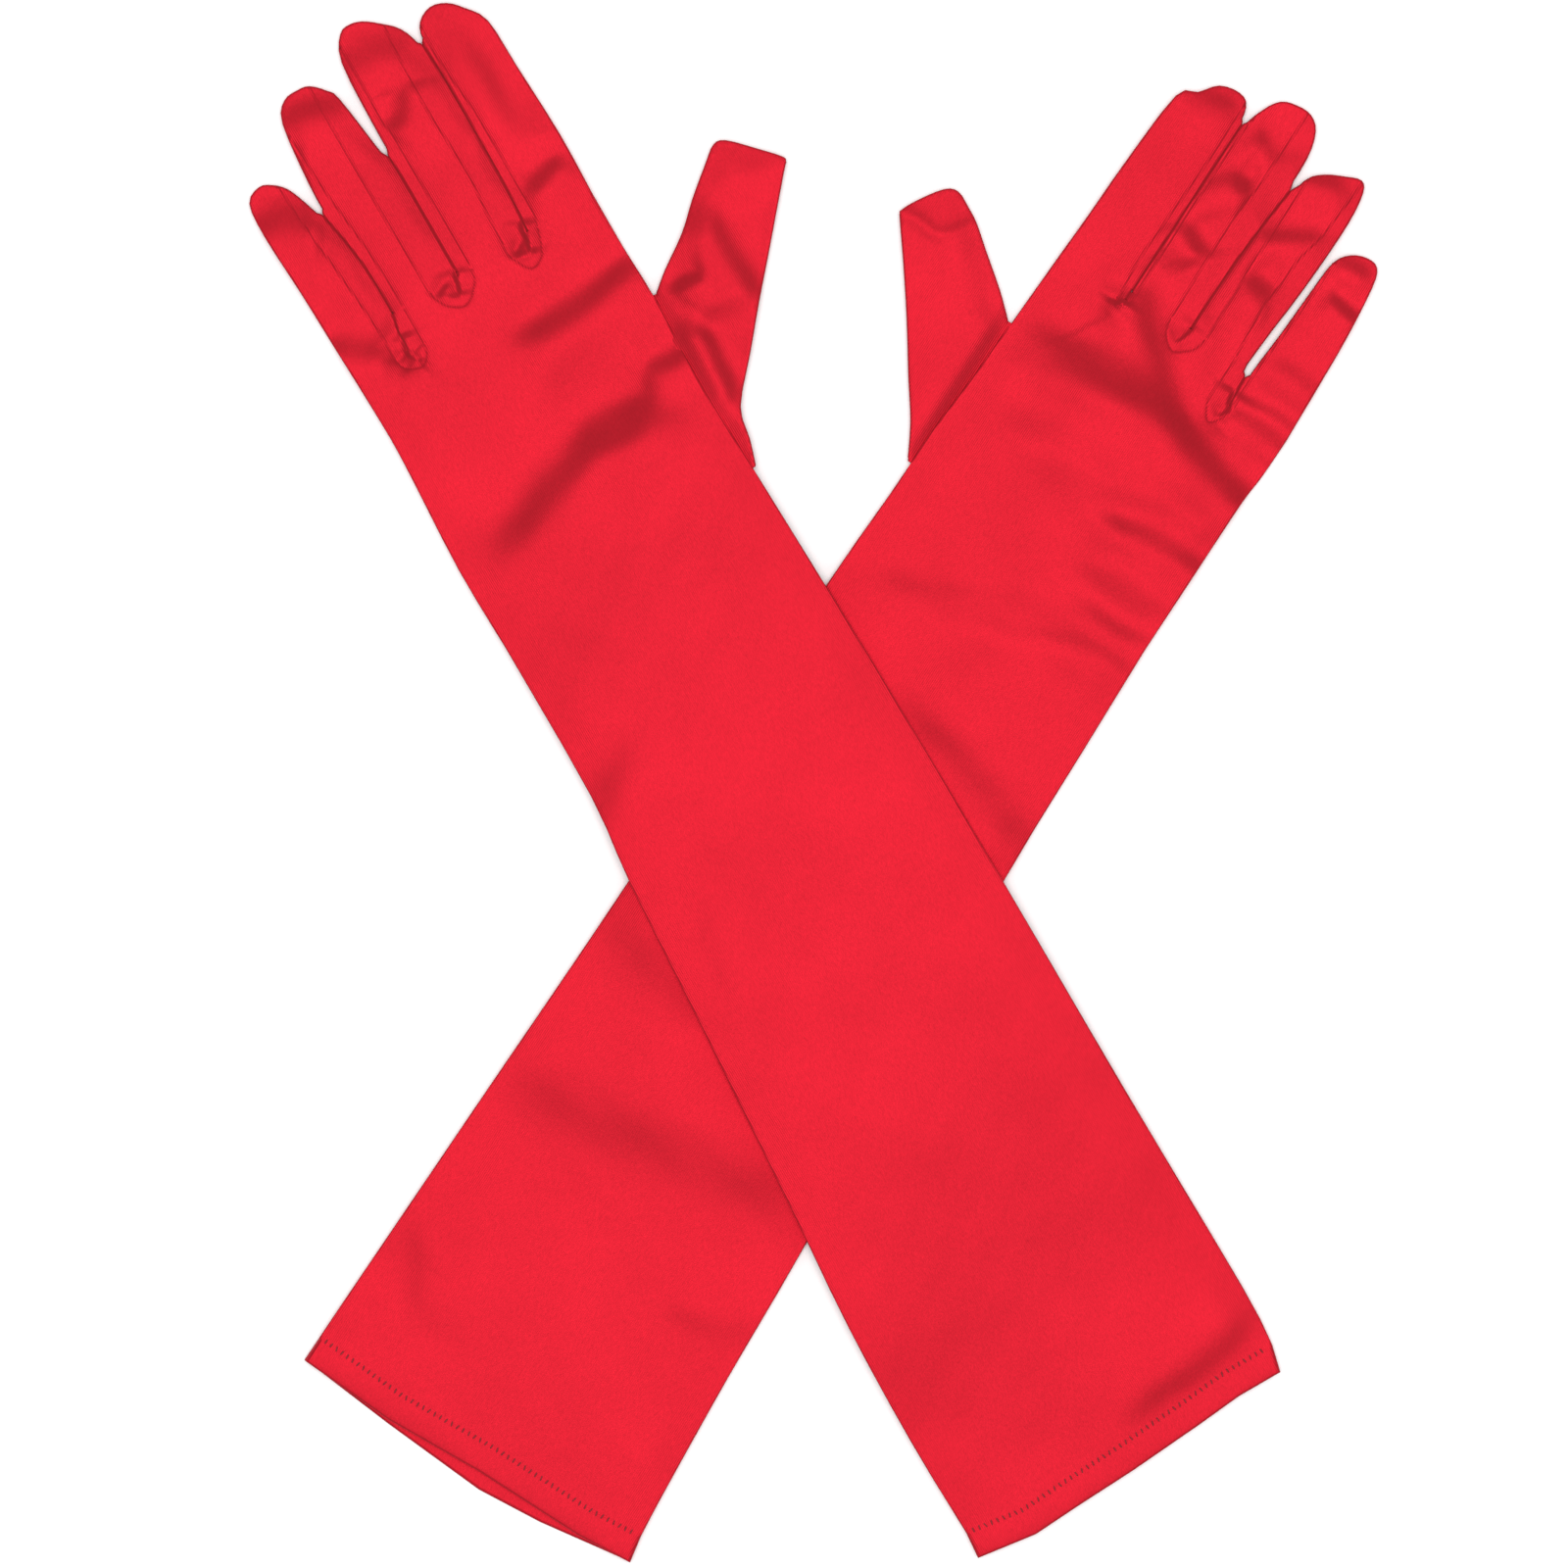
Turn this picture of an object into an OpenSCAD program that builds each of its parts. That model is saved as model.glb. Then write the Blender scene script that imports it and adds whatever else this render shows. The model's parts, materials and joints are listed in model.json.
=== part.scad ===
// A pair of long evening gloves in stretch satin, laid flat with one sleeve across the other.
// Each glove is cut as in a glover's pattern: one folded panel for the hand and the sleeve,
// a separate thumb, and side strips between the fingers that end in a small crotch gusset.
// A glove's own frame has V along the sleeve towards the fingertips and U across it.

/* [Cloth] */
// Thickness of one layer of satin as it lies
cloth_t = 0.6; // [0.4:0.05:0.8]
// Depth of the turned-in hem at the cuff
hem_d = 8.5; // [6:0.5:12]
// Thickness of the hem's sewing thread
thread_t = 0.4; // [0.2:0.1:0.5]

/* [Heights] */
// Height of a sleeve as it lies
sleeve_h = 7; // [6.4:0.1:9]
// Height of the hand and the palm
hand_h = 6.6; // [6.2:0.1:9]
// Height of a finger
finger_h = 6; // [5.8:0.1:8]
// Height of a thumb
thumb_h = 5.8; // [5.6:0.1:8]

/* [Lay] */
// Turn of the left glove, which lies on top
left_turn = 30; // [28:1:32]
// Turn of the right glove, which lies underneath, the other way
right_turn = 32; // [30:1:34]
// Width of the slope where the upper sleeve comes down beside the lower one
slope_w = 18; // [14:1:20]

/* [Joints] */
// Gap between pieces that fold against each other
fold_gap = 0.4; // [0.3:0.05:0.6]

/* [Hidden] */

satin = [0.87, 0.12, 0.19];
satin_edge = [0.74, 0.1, 0.16];
strip_red = [0.8, 0.14, 0.2];
thread_red = [0.55, 0.1, 0.14];

left_at = [96.6, -208.8];
right_at = [-105, -203.1];
// Hairline between the layers and the walls of one piece
hair = 0.05;
// Wall of a seam, where two raw edges are sewn together
seam_t = 0.9;
// Half the width of the wall that closes a crotch
crotch_w = 3;
// Steps between two points of a smooth curve
steps = 3;
// First and last outline point of a thumb's tip wall
thumb_tip = [5, 9];

// The upper sleeve's underside over the lower sleeve: [distance across the lower sleeve, height]
over_h = sleeve_h + 0.3;
over_edge = [-54.5, 56];
reach = 500;
drape = [
    [-reach, 0], [over_edge[0] - slope_w, 0], [over_edge[0], over_h],
    [over_edge[1], over_h], [over_edge[1] + slope_w, 0], [reach, 0]
];

// Left glove: thumb towards +U. Sides run from the cuff to the wrist, point 1 at the hem line.
l_wrist = 312;
l_cuff = [[-54, -1], [-35, -3.5], [-20, -2.5], [0, -1.5], [25, 0.5], [40, 2], [54.5, 2]];
l_little_side = [
    [-54, -1], [-53.3, 7.5], [-54, 40], [-53, 80], [-50, 120], [-46, 180], [-43, 230],
    [-40, 260], [-40, l_wrist - fold_gap / 2]
];
l_thumb_side = [
    [54.5, 2], [56.5, 10.5], [57.5, 30], [56.5, 100], [56, 180], [55, 250],
    [53.3, l_wrist - fold_gap / 2]
];
l_hand_little_side = [
    [-40, l_wrist + fold_gap / 2], [-40.5, 340], [-39, 370], [-38.5, 385], [-39, 405.8]
];
l_hand_thumb_side = [
    [53.3, l_wrist + fold_gap / 2], [53, 321], [52, 345], [52, 360], [53, 383], [52.5, 400],
    [52.5, 418.8]
];
l_stair = [[-20.1, 405.8], [-19.8, 412], [-18.7, 417.8], [4.3, 417.8], [4.3, 418.8]];
l_thumb_open = [322, 383];

// Right glove: thumb towards -U. The cuff's lower layer shows past the upper one.
r_wrist = 316;
r_cuff = [[-57.3, -4], [-26, -5.8], [6, -4.5], [42, -5], [60, -3.7]];
r_cuff_low = [[-57.3, -4], [-25, -7.1], [9, -9.5], [30, -8], [60, -3.7]];
r_thumb_side = [
    [-57.3, -4], [-57, 4.5], [-56.5, 20], [-55, 60], [-53.5, 100], [-51.5, 150], [-50, 200],
    [-47.5, 281], [-45.7, r_wrist - fold_gap / 2]
];
r_little_side = [
    [60, -3.7], [58.6, 4.8], [57.5, 20], [55.5, 60], [54, 108], [50, 170], [46.5, 234],
    [46, 280], [45.7, r_wrist - fold_gap / 2]
];
r_hand_thumb_side = [
    [-45.7, r_wrist + fold_gap / 2], [-45.3, 327], [-44.8, 340], [-43, 360], [-42, 378],
    [-40.5, 403.8]
];
r_hand_little_side = [
    [45.7, r_wrist + fold_gap / 2], [46.5, 350], [47, 370], [48, 380], [48.5, 392.8]
];
r_stair = [[-15.8, 403.8], [-15.8, 406.8], [26, 406.8], [26, 392.8]];
r_thumb_open = [327, 379];

// A digit: [outline from one base corner round the tip to the other, first and last point of
// the tip, seam on the -U side, seam on the +U side]. Seams run on past the tip.
l_little = [
    [
        [-39, 406.2], [-39.5, 420], [-40, 437], [-41, 458], [-40, 469], [-35, 472],
        [-31, 470.5], [-27.5, 467], [-25, 461], [-22.2, 452], [-20.5, 444], [-19.2, 433],
        [-18.9, 420], [-20.4, 412], [-20.8, 406.2]
    ],
    4, 8, [], [[-25, 400], [-25, 412], [-26, 425], [-29, 460], [-30.5, 480]]
];
l_ring = [
    [
        [-18.5, 418.2], [-18.7, 433], [-19.9, 444], [-21.3, 452], [-21.2, 465], [-19, 485],
        [-15, 491], [-10, 491.8], [-6, 491], [-2, 487], [0, 483], [2.5, 465], [4.1, 453],
        [4.1, 430], [4.1, 418.2]
    ],
    5, 10, [[-15, 410], [-15, 420], [-16, 440], [-18, 460], [-20.5, 500]],
    [[-5.5, 410], [-6, 430], [-6.5, 450], [-6.5, 470], [-6, 500]]
];
l_middle = [
    [
        [4.9, 419.2], [4.9, 453], [4.9, 470], [6, 492], [10, 500], [14, 501.2], [18, 500],
        [22, 497], [27, 492], [29.6, 484], [30.6, 470], [30.5, 445], [30, 430], [29.2, 419.2]
    ],
    3, 9, [[9, 410], [9, 430], [8, 470], [8, 510]],
    [[21, 410], [21.5, 430], [22.5, 445], [21.5, 470], [23.5, 505]]
];
l_index = [
    [
        [29.8, 419.2], [30.6, 430], [31.1, 445], [31.2, 470], [31, 485], [33, 491],
        [38, 493.5], [43, 492], [47, 488], [51.3, 481], [52, 465], [53, 440], [52.5, 419.2]
    ],
    4, 9, [[33, 410], [34, 435], [33.5, 460], [32, 480], [33.5, 500]], []
];
r_index = [
    [
        [-40.5, 404.2], [-39.5, 420], [-38.5, 440], [-36.2, 465], [-31, 469.6], [-26.5, 474.8],
        [-20, 476.2], [-16, 473.5], [-14.9, 464], [-15.4, 440], [-16.2, 420], [-16.4, 404.2]
    ],
    3, 8, [], [[-17.5, 395], [-19, 415], [-18.5, 430], [-17, 455], [-16.5, 485]]
];
r_middle = [
    [
        [-15.3, 407.2], [-14.8, 420], [-14.7, 440], [-13.8, 466], [-11.5, 475], [-8, 480.5],
        [-3, 482.2], [2, 482], [6, 478.5], [8.2, 470], [8, 456], [6.2, 438], [5.2, 420],
        [5.2, 407.2]
    ],
    3, 9, [[-14.5, 400], [-14, 420], [-13.9, 440], [-13, 465], [-11, 490]],
    [[-1, 400], [-1.5, 425], [-1, 440], [0, 455], [1.5, 490]]
];
r_ring = [
    [
        [5.9, 407.2], [6.2, 420], [6.9, 435], [8.8, 453], [11, 464], [15, 468.6], [21, 471.6],
        [25.8, 473.2], [28.3, 470], [29.4, 460], [29, 445], [28, 430], [27, 420], [26, 407.2]
    ],
    4, 9, [[11, 400], [11, 430], [11.5, 455], [12, 480]],
    [[22, 400], [21, 425], [22, 440], [24, 450], [26, 465], [26.5, 480]]
];
r_little = [
    [
        [28.4, 393.2], [28.4, 406], [29.6, 420], [30.6, 436], [31.6, 447], [35, 452],
        [40, 454], [44, 453], [46, 447], [47.5, 430], [48, 415], [48.5, 393.2]
    ],
    4, 8, [[29.4, 385], [29.4, 406], [30.6, 420], [31.6, 436], [32.6, 460]], []
];

// A thumb's outline starts and ends on its fold line beside the hand.
l_thumb = [
    [54, 383], [60, 388], [70, 395], [78, 402.5], [87, 410], [92, 413.8], [96, 413],
    [103, 406], [108.5, 400], [108.6, 398], [106.5, 395.7], [90, 376.5], [80, 365],
    [70, 353], [59, 340], [56.5, 330], [54, 322]
];
r_thumb = [
    [-43, 379.5], [-50, 386], [-60, 394], [-67, 399.7], [-72, 402.7], [-77, 405], [-81, 403.4],
    [-86, 396.5], [-88.8, 391], [-88, 388.8], [-80, 378], [-70, 364], [-60, 349],
    [-52, 337.4], [-46.5, 327]
];

// Crotch gussets: [curved end, corners of the stretch of strip beside a taller finger base,
// point where the slit between the fingers ends]
l_gusset_ring_little = [
    [[-25, 405.8], [-24, 402], [-19.5, 399.5], [-16, 402], [-15, 405.8]],
    [[-15, 417.8], [-18.7, 417.8], [-19.8, 412], [-20.1, 405.8]], [-20.1, 404]
];
l_gusset_middle_ring = [
    [[-5.5, 417.8], [-5, 415], [-3, 411.5], [1.5, 409], [6, 411.5], [8.5, 415], [9, 417.8]],
    [], [4, 416.5]
];
l_gusset_index_middle = [
    [[21, 418.8], [21.5, 414], [25, 408.5], [30, 411], [33, 418.8]], [], [29, 417]
];
r_gusset_index_middle = [[[-19, 403.8], [-17.5, 400.5], [-15, 403.8]], [], [-17, 403.4]];
r_gusset_middle_ring = [
    [[-1, 406.8], [0, 402], [4.5, 398.5], [9.5, 402], [11, 406.8]], [], [5.5, 405]
];
r_gusset_ring_little = [
    [[21.5, 392.8], [22, 390], [25, 386], [28, 389], [28.5, 392.8]],
    [[26, 392.8], [26, 406.8], [22, 406.8], [21.6, 400]], [26.5, 391]
];

function tail(p) = [for (i = [1:len(p) - 1]) p[i]];
function back(p) = [for (i = [len(p) - 1:-1:0]) p[i]];
function shift(p, by) = [for (q = p) q + by];
function part_of(p, a, b) = [for (i = [a:b]) p[i]];
// A smooth curve through every point of a list
function blend_at(a, b, c, d, t) =
    (2 * b + (c - a) * t + (2 * a - 5 * b + 4 * c - d) * t * t + (3 * b - 3 * c + d - a) * t * t * t) / 2;
function curve(p) = concat(
    [for (i = [0:len(p) - 2]) for (k = [0:steps - 1])
        blend_at(p[max(i - 1, 0)], p[i], p[i + 1], p[min(i + 2, len(p) - 1)], k / steps)],
    [p[len(p) - 1]]
);
// The strip of plan between a line and the same line moved over
function band(p, by) = concat(p, back(shift(p, by)));
function gusset_plan(g) = concat(curve(g[0]), g[1]);
function hem_line(cuff, side_a, side_b) = concat(
    [side_a[1]], [for (i = [1:len(cuff) - 2]) cuff[i] + [0, hem_d]], [side_b[1]]
);
function sleeve_plan(cuff, side_a, side_b) =
    concat(hem_line(cuff, side_a, side_b), curve(tail(side_b)), back(curve(tail(side_a))));
function hem_plan(cuff, top_cuff, side_a, side_b) =
    concat(cuff, back(hem_line(top_cuff, side_a, side_b)));
function hand_plan(side_a, stair, side_b) = concat(curve(side_a), stair, back(curve(side_b)));
// Plan of what lies to the -U or the +U side of a seam
function beside(seam, side) = concat(seam, [[side * reach, reach], [side * reach, 0]]);

module on_left() translate(left_at) rotate(left_turn) children();
module on_right() translate(right_at) rotate(-right_turn) children();
module plate(points, z0, z1) translate([0, 0, z0]) linear_extrude(z1 - z0) polygon(points);
// The back and the palm of a piece, one above the other
module two_layers(points, h, t = cloth_t) {
    plate(points, 0, t);
    plate(points, h - t, h);
}
// A wall between the two layers
module wall(points, h, t = cloth_t) plate(points, t + hair, h - t - hair);

// One layer of the upper sleeve, bent over the lower sleeve in flat stretches
module lay_over(points, z0, z1) for (i = [0:len(drape) - 2]) {
    a = drape[i] + [hair / 2, 0];
    b = drape[i + 1] - [hair / 2, 0];
    intersection() {
        on_left() plate(points, -1, over_h + sleeve_h + 1);
        on_right() translate([0, 2 * reach, 0]) rotate([90, 0, 0]) linear_extrude(3 * reach)
            polygon([a + [0, z0], b + [0, z0], b + [0, z1], a + [0, z1]]);
    }
}

module cuff_hem(cuff, cuff_low, side_a, side_b) {
    t = 2 * cloth_t;
    plate(hem_plan(cuff_low, cuff, side_a, side_b), 0, t);
    plate(hem_plan(cuff, cuff, side_a, side_b), sleeve_h - t, sleeve_h);
    wall(band(part_of(side_a, 0, 1), [t, 0]), sleeve_h, t);
    wall(band(part_of(side_b, 0, 1), [-t, 0]), sleeve_h, t);
}

// The blind-stitched thread, inside the sleeve just above the hem
module hem_thread(cuff, side_a, side_b) {
    line = hem_line(cuff, side_a, side_b);
    inner = concat([line[0] + [2, 0.2]], shift(part_of(line, 1, len(line) - 2), [0, 0.2]));
    path = band(concat(inner, [line[len(line) - 1] + [-2, 0.2]]), [0, thread_t]);
    plate(path, cloth_t, cloth_t + thread_t);
    plate(path, sleeve_h - cloth_t - thread_t, sleeve_h - cloth_t);
}

module hand_layers(plan, gussets) difference() {
    two_layers(plan, hand_h);
    for (g = gussets) plate(gusset_plan(g), -1, hand_h + 1);
}

module gusset(g) {
    two_layers(gusset_plan(g), hand_h);
    wall(band([g[2] - [crotch_w, 0], g[2] + [crotch_w, 0]], [0, -cloth_t]), hand_h);
}

// The back and palm of a finger between its seams, with the wall round its tip
module finger_panel(d) {
    edge = curve(d[0]);
    difference() {
        two_layers(edge, finger_h);
        if (len(d[3]) > 0) plate(beside(curve(d[3]), -1), -1, finger_h + 1);
        if (len(d[4]) > 0) plate(beside(curve(d[4]), 1), -1, finger_h + 1);
    }
    wall(band(part_of(edge, d[1] * steps, d[2] * steps), [0, -2 * cloth_t]), finger_h);
}

// A finger's long side, from its base to where the tip begins; side is -1 or 1
function finger_side(d, side) = side < 0
    ? part_of(curve(d[0]), 0, d[1] * steps - 1)
    : part_of(curve(d[0]), d[2] * steps + 1, (len(d[0]) - 1) * steps);

// A strip let in between the fingers: its shares of the back and the palm, and its side
module finger_strip(d, side) {
    seam = side < 0 ? d[3] : d[4];
    intersection() {
        two_layers(curve(d[0]), finger_h);
        plate(beside(curve(seam), side), -1, finger_h + 1);
    }
    wall(band(finger_side(d, side), [-side * cloth_t, 0]), finger_h);
}

module finger_fold(d, side) wall(band(finger_side(d, side), [-side * cloth_t, 0]), finger_h);
module side_seam(points, side, h) wall(band(points, [-side * seam_t, 0]), h);

// A thumb's layers and its walls; the seam runs along the side nearest the wrist
module thumb_panel(p, away) {
    edge = curve(p);
    two_layers(edge, thumb_h);
    wall(band(part_of(edge, 0, thumb_tip[0] * steps - 1), [0, -1.5 * cloth_t]), thumb_h);
    wall(band(part_of(edge, thumb_tip[0] * steps, thumb_tip[1] * steps), [-away * cloth_t, -cloth_t]), thumb_h);
}
module thumb_seam(p) {
    edge = curve(p);
    wall(band(part_of(edge, thumb_tip[1] * steps + 3, len(edge) - 1), [0, 1.5 * cloth_t]), thumb_h);
}

// The folded side of a hand, open where the thumb is set in
module hand_fold(side_points, side, open) {
    edge = curve(side_points);
    below = [for (q = edge) if (q[1] < open[0]) q];
    above = [for (q = edge) if (q[1] > open[1]) q];
    wall(band(below, [-side * cloth_t, 0]), hand_h);
    wall(band(above, [-side * cloth_t, 0]), hand_h);
}

module right_forearm_panel() color(satin) on_right() {
    two_layers(sleeve_plan(r_cuff, r_thumb_side, r_little_side), sleeve_h);
    wall(band(curve(tail(r_thumb_side)), [cloth_t, 0]), sleeve_h);
}
module right_cuff_hem() color(satin_edge) on_right() cuff_hem(r_cuff, r_cuff_low, r_thumb_side, r_little_side);
module right_hem_thread() color(thread_red) on_right() hem_thread(r_cuff, r_thumb_side, r_little_side);
module right_forearm_seam() color(satin_edge) on_right() side_seam(curve(tail(r_little_side)), 1, sleeve_h);
module right_hand_panel() color(satin) on_right() {
    hand_layers(
        hand_plan(r_hand_thumb_side, r_stair, r_hand_little_side),
        [r_gusset_index_middle, r_gusset_middle_ring, r_gusset_ring_little]
    );
    hand_fold(r_hand_thumb_side, -1, r_thumb_open);
}
module right_hand_seam() color(satin_edge) on_right() side_seam(curve(r_hand_little_side), 1, hand_h);
module right_gusset_index_middle() color(strip_red) on_right() gusset(r_gusset_index_middle);
module right_gusset_middle_ring() color(strip_red) on_right() gusset(r_gusset_middle_ring);
module right_gusset_ring_little() color(strip_red) on_right() gusset(r_gusset_ring_little);
module right_index_panel() color(satin) on_right() {
    finger_panel(r_index);
    finger_fold(r_index, -1);
}
module right_index_strip() color(strip_red) on_right() finger_strip(r_index, 1);
module right_middle_panel() color(satin) on_right() finger_panel(r_middle);
module right_middle_strip_index_side() color(strip_red) on_right() finger_strip(r_middle, -1);
module right_middle_strip_ring_side() color(strip_red) on_right() finger_strip(r_middle, 1);
module right_ring_panel() color(satin) on_right() finger_panel(r_ring);
module right_ring_strip_middle_side() color(strip_red) on_right() finger_strip(r_ring, -1);
module right_ring_strip_little_side() color(strip_red) on_right() finger_strip(r_ring, 1);
module right_little_panel() color(satin) on_right() finger_panel(r_little);
module right_little_strip() color(strip_red) on_right() finger_strip(r_little, -1);
module right_little_seam() color(satin_edge) on_right() side_seam(finger_side(r_little, 1), 1, finger_h);
module right_thumb_panel() color(satin) on_right() thumb_panel(r_thumb, -1);
module right_thumb_seam() color(satin_edge) on_right() thumb_seam(r_thumb);

module left_forearm_panel() color(satin) {
    plan = sleeve_plan(l_cuff, l_little_side, l_thumb_side);
    lay_over(plan, 0, cloth_t);
    lay_over(plan, sleeve_h - cloth_t, sleeve_h);
    lay_over(
        band(curve(tail(l_thumb_side)), [-cloth_t, 0]),
        cloth_t + hair, sleeve_h - cloth_t - hair
    );
}
module left_cuff_hem() color(satin_edge) on_left() cuff_hem(l_cuff, l_cuff, l_little_side, l_thumb_side);
module left_hem_thread() color(thread_red) on_left() hem_thread(l_cuff, l_little_side, l_thumb_side);
module left_forearm_seam() color(satin_edge) lay_over(
    band(curve(tail(l_little_side)), [seam_t, 0]),
    cloth_t + hair, sleeve_h - cloth_t - hair
);
module left_hand_panel() color(satin) on_left() {
    hand_layers(
        hand_plan(l_hand_little_side, l_stair, l_hand_thumb_side),
        [l_gusset_index_middle, l_gusset_middle_ring, l_gusset_ring_little]
    );
    hand_fold(l_hand_thumb_side, 1, l_thumb_open);
}
module left_hand_seam() color(satin_edge) on_left() side_seam(curve(l_hand_little_side), -1, hand_h);
module left_gusset_index_middle() color(strip_red) on_left() gusset(l_gusset_index_middle);
module left_gusset_middle_ring() color(strip_red) on_left() gusset(l_gusset_middle_ring);
module left_gusset_ring_little() color(strip_red) on_left() gusset(l_gusset_ring_little);
module left_index_panel() color(satin) on_left() {
    finger_panel(l_index);
    finger_fold(l_index, 1);
}
module left_index_strip() color(strip_red) on_left() finger_strip(l_index, -1);
module left_middle_panel() color(satin) on_left() finger_panel(l_middle);
module left_middle_strip_index_side() color(strip_red) on_left() finger_strip(l_middle, 1);
module left_middle_strip_ring_side() color(strip_red) on_left() finger_strip(l_middle, -1);
module left_ring_panel() color(satin) on_left() finger_panel(l_ring);
module left_ring_strip_middle_side() color(strip_red) on_left() finger_strip(l_ring, 1);
module left_ring_strip_little_side() color(strip_red) on_left() finger_strip(l_ring, -1);
module left_little_panel() color(satin) on_left() finger_panel(l_little);
module left_little_strip() color(strip_red) on_left() finger_strip(l_little, 1);
module left_little_seam() color(satin_edge) on_left() side_seam(finger_side(l_little, -1), -1, finger_h);
module left_thumb_panel() color(satin) on_left() thumb_panel(l_thumb, 1);
module left_thumb_seam() color(satin_edge) on_left() thumb_seam(l_thumb);

right_forearm_panel();
right_cuff_hem();
right_hem_thread();
right_forearm_seam();
right_hand_panel();
right_hand_seam();
right_gusset_index_middle();
right_gusset_middle_ring();
right_gusset_ring_little();
right_index_panel();
right_index_strip();
right_middle_panel();
right_middle_strip_index_side();
right_middle_strip_ring_side();
right_ring_panel();
right_ring_strip_middle_side();
right_ring_strip_little_side();
right_little_panel();
right_little_strip();
right_little_seam();
right_thumb_panel();
right_thumb_seam();
left_forearm_panel();
left_cuff_hem();
left_hem_thread();
left_forearm_seam();
left_hand_panel();
left_hand_seam();
left_gusset_index_middle();
left_gusset_middle_ring();
left_gusset_ring_little();
left_index_panel();
left_index_strip();
left_middle_panel();
left_middle_strip_index_side();
left_middle_strip_ring_side();
left_ring_panel();
left_ring_strip_middle_side();
left_ring_strip_little_side();
left_little_panel();
left_little_strip();
left_little_seam();
left_thumb_panel();
left_thumb_seam();
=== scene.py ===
"""The looks of a pair of long stretch-satin gloves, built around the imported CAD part.

Each glove has its own frame, in millimetres: V runs from the cuff to the fingertips and U across.
The outlines of all pieces come from the CAD nodes. One height function for each glove then lays
the cloth over them, so that neighbouring pieces meet along their seams.
"""
import json
import math
import bpy
import numpy as np
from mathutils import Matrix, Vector, kdtree
from mathutils.geometry import delaunay_2d_cdt


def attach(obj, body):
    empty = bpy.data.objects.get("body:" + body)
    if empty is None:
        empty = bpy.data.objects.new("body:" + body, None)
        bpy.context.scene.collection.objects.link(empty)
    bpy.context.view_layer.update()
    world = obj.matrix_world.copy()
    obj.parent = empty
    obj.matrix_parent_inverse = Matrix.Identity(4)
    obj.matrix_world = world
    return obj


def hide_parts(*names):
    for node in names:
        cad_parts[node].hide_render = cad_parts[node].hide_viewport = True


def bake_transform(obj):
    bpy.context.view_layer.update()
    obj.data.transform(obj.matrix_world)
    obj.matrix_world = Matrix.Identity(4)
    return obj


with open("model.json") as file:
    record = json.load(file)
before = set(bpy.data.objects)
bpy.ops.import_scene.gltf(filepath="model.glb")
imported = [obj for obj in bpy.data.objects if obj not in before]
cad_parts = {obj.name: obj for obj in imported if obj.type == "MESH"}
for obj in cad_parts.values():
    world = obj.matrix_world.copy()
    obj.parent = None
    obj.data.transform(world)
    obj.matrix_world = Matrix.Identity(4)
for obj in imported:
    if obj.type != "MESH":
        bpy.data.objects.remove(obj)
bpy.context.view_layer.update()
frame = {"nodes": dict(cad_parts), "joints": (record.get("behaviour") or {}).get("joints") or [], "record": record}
MM = 0.001
DIGITS = ("index", "middle", "ring", "little")
MOUNTS = {m["name"]: m for m in frame["record"]["mounts"]}
JOINTS = {j["name"]: j for j in frame["joints"]}

# Mesh spacing, mm
EDGE_STEP = 0.8  # along outlines and seams
SLEEVE_STEP = 2  # over the sleeve
HAND_STEP = 1.1  # over the hand and the fingers
GUSSET_STEP = 0.45  # over the crotch gussets
HAND_FROM_V = 285  # where the hand's finer spacing starts
SNAP = 5.2  # how far beside its finger a corner of a root line may lie
HALF_SLEEVE_MIN = 35  # a long edge of the sleeve lies at least this far from its middle

# Heights of the cloth as it lies, mm
SIDE_Z, FINGER_SIDE_Z = 2.9, 3.1  # where the upper and the lower layer meet at an outline
UNDER_Z = 0.3  # the lower layer, on the floor
SLEEVE_Z, FINGER_Z, THUMB_Z = 3.2, 3.6, 3.2
SLEEVE_ROUND, FINGER_ROUND, THUMB_ROUND = 0.4, 0.7, 0.5  # how wide the edges are rounded
THUMB_SIDE_Z, THUMB_ROOT_Z = 2.8, 1  # and how much lower a thumb lies at its root
TO_FINGER = 26  # over this length, the hand's height changes to a finger's
PUFF_Z, PUFF_REACH = 0.4, 11  # how much higher the cloth stands, this far in from its outline
THUMB_PUFF_Z, THUMB_PUFF_REACH = 0.35, 9
WANDER_Z, WANDER_LONG = 0.26, 62  # slow rise and fall over the whole cloth, and its pitch
RIPPLE_Z, RIPPLE_LONG = 0.05, 17  # and a finer one
WARP, STRAY = 1.3, (21, 27)  # how far a fold strays from its line, and over which lengths
CREASE = 1  # folds no wider than this are sharp creases
SOFT_SPAN, CREASE_SPAN = 7, 90  # how slowly a soft fold's and a crease's step levels out again
LOWEST = 2.6  # folds go down at most this far, so that the cloth stays above the floor
OVER_Z = 3.8  # how far the upper sleeve rises over the lower one
SLOPE = 95  # width of its slope down beside the lower sleeve
ACROSS = (174, 0.469, -0.883)  # place across the lower sleeve, from the upper glove's U and V
OVER_EDGE = (-54.5, 56)  # the lower sleeve's two edges there
ROWS = (0.03, 0.13, 0.29, 0.5, 0.74, 1)  # rows of points in a rounded edge, as shares of its width
SEAM_ROWS = (0.25, 0.6, 1.2)  # rows of points beside a seam, by their distance
ROW_GAPS = {"side": 0.12, "seam": 0.3, "open": 0.3}  # how near such a row may come to other edges
CLOSEST = 0.14  # no two points inside an outline are nearer
SEAM_DEEP, SEAM_WIDE = 0.17, 0.42  # a seam's groove
SLIT_CLOSED = 2  # slits between fingers that are narrower than this close up
GAP_FROM_U, GAP_FROM_V = 20, 402  # except the right glove's gap beside the little finger, above here
GAP_LIMIT = 4.5  # width up to which that gap closes further down
TOUCHING = 0.06  # gaps no wider than this stay as they are
OVERLAP = 0.02  # how far each side of a closed slit reaches over its middle
SLIT_LONG, DRAWN = 10, 0.6  # the least length of a gusset's slit, and by what share its end narrows

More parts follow.
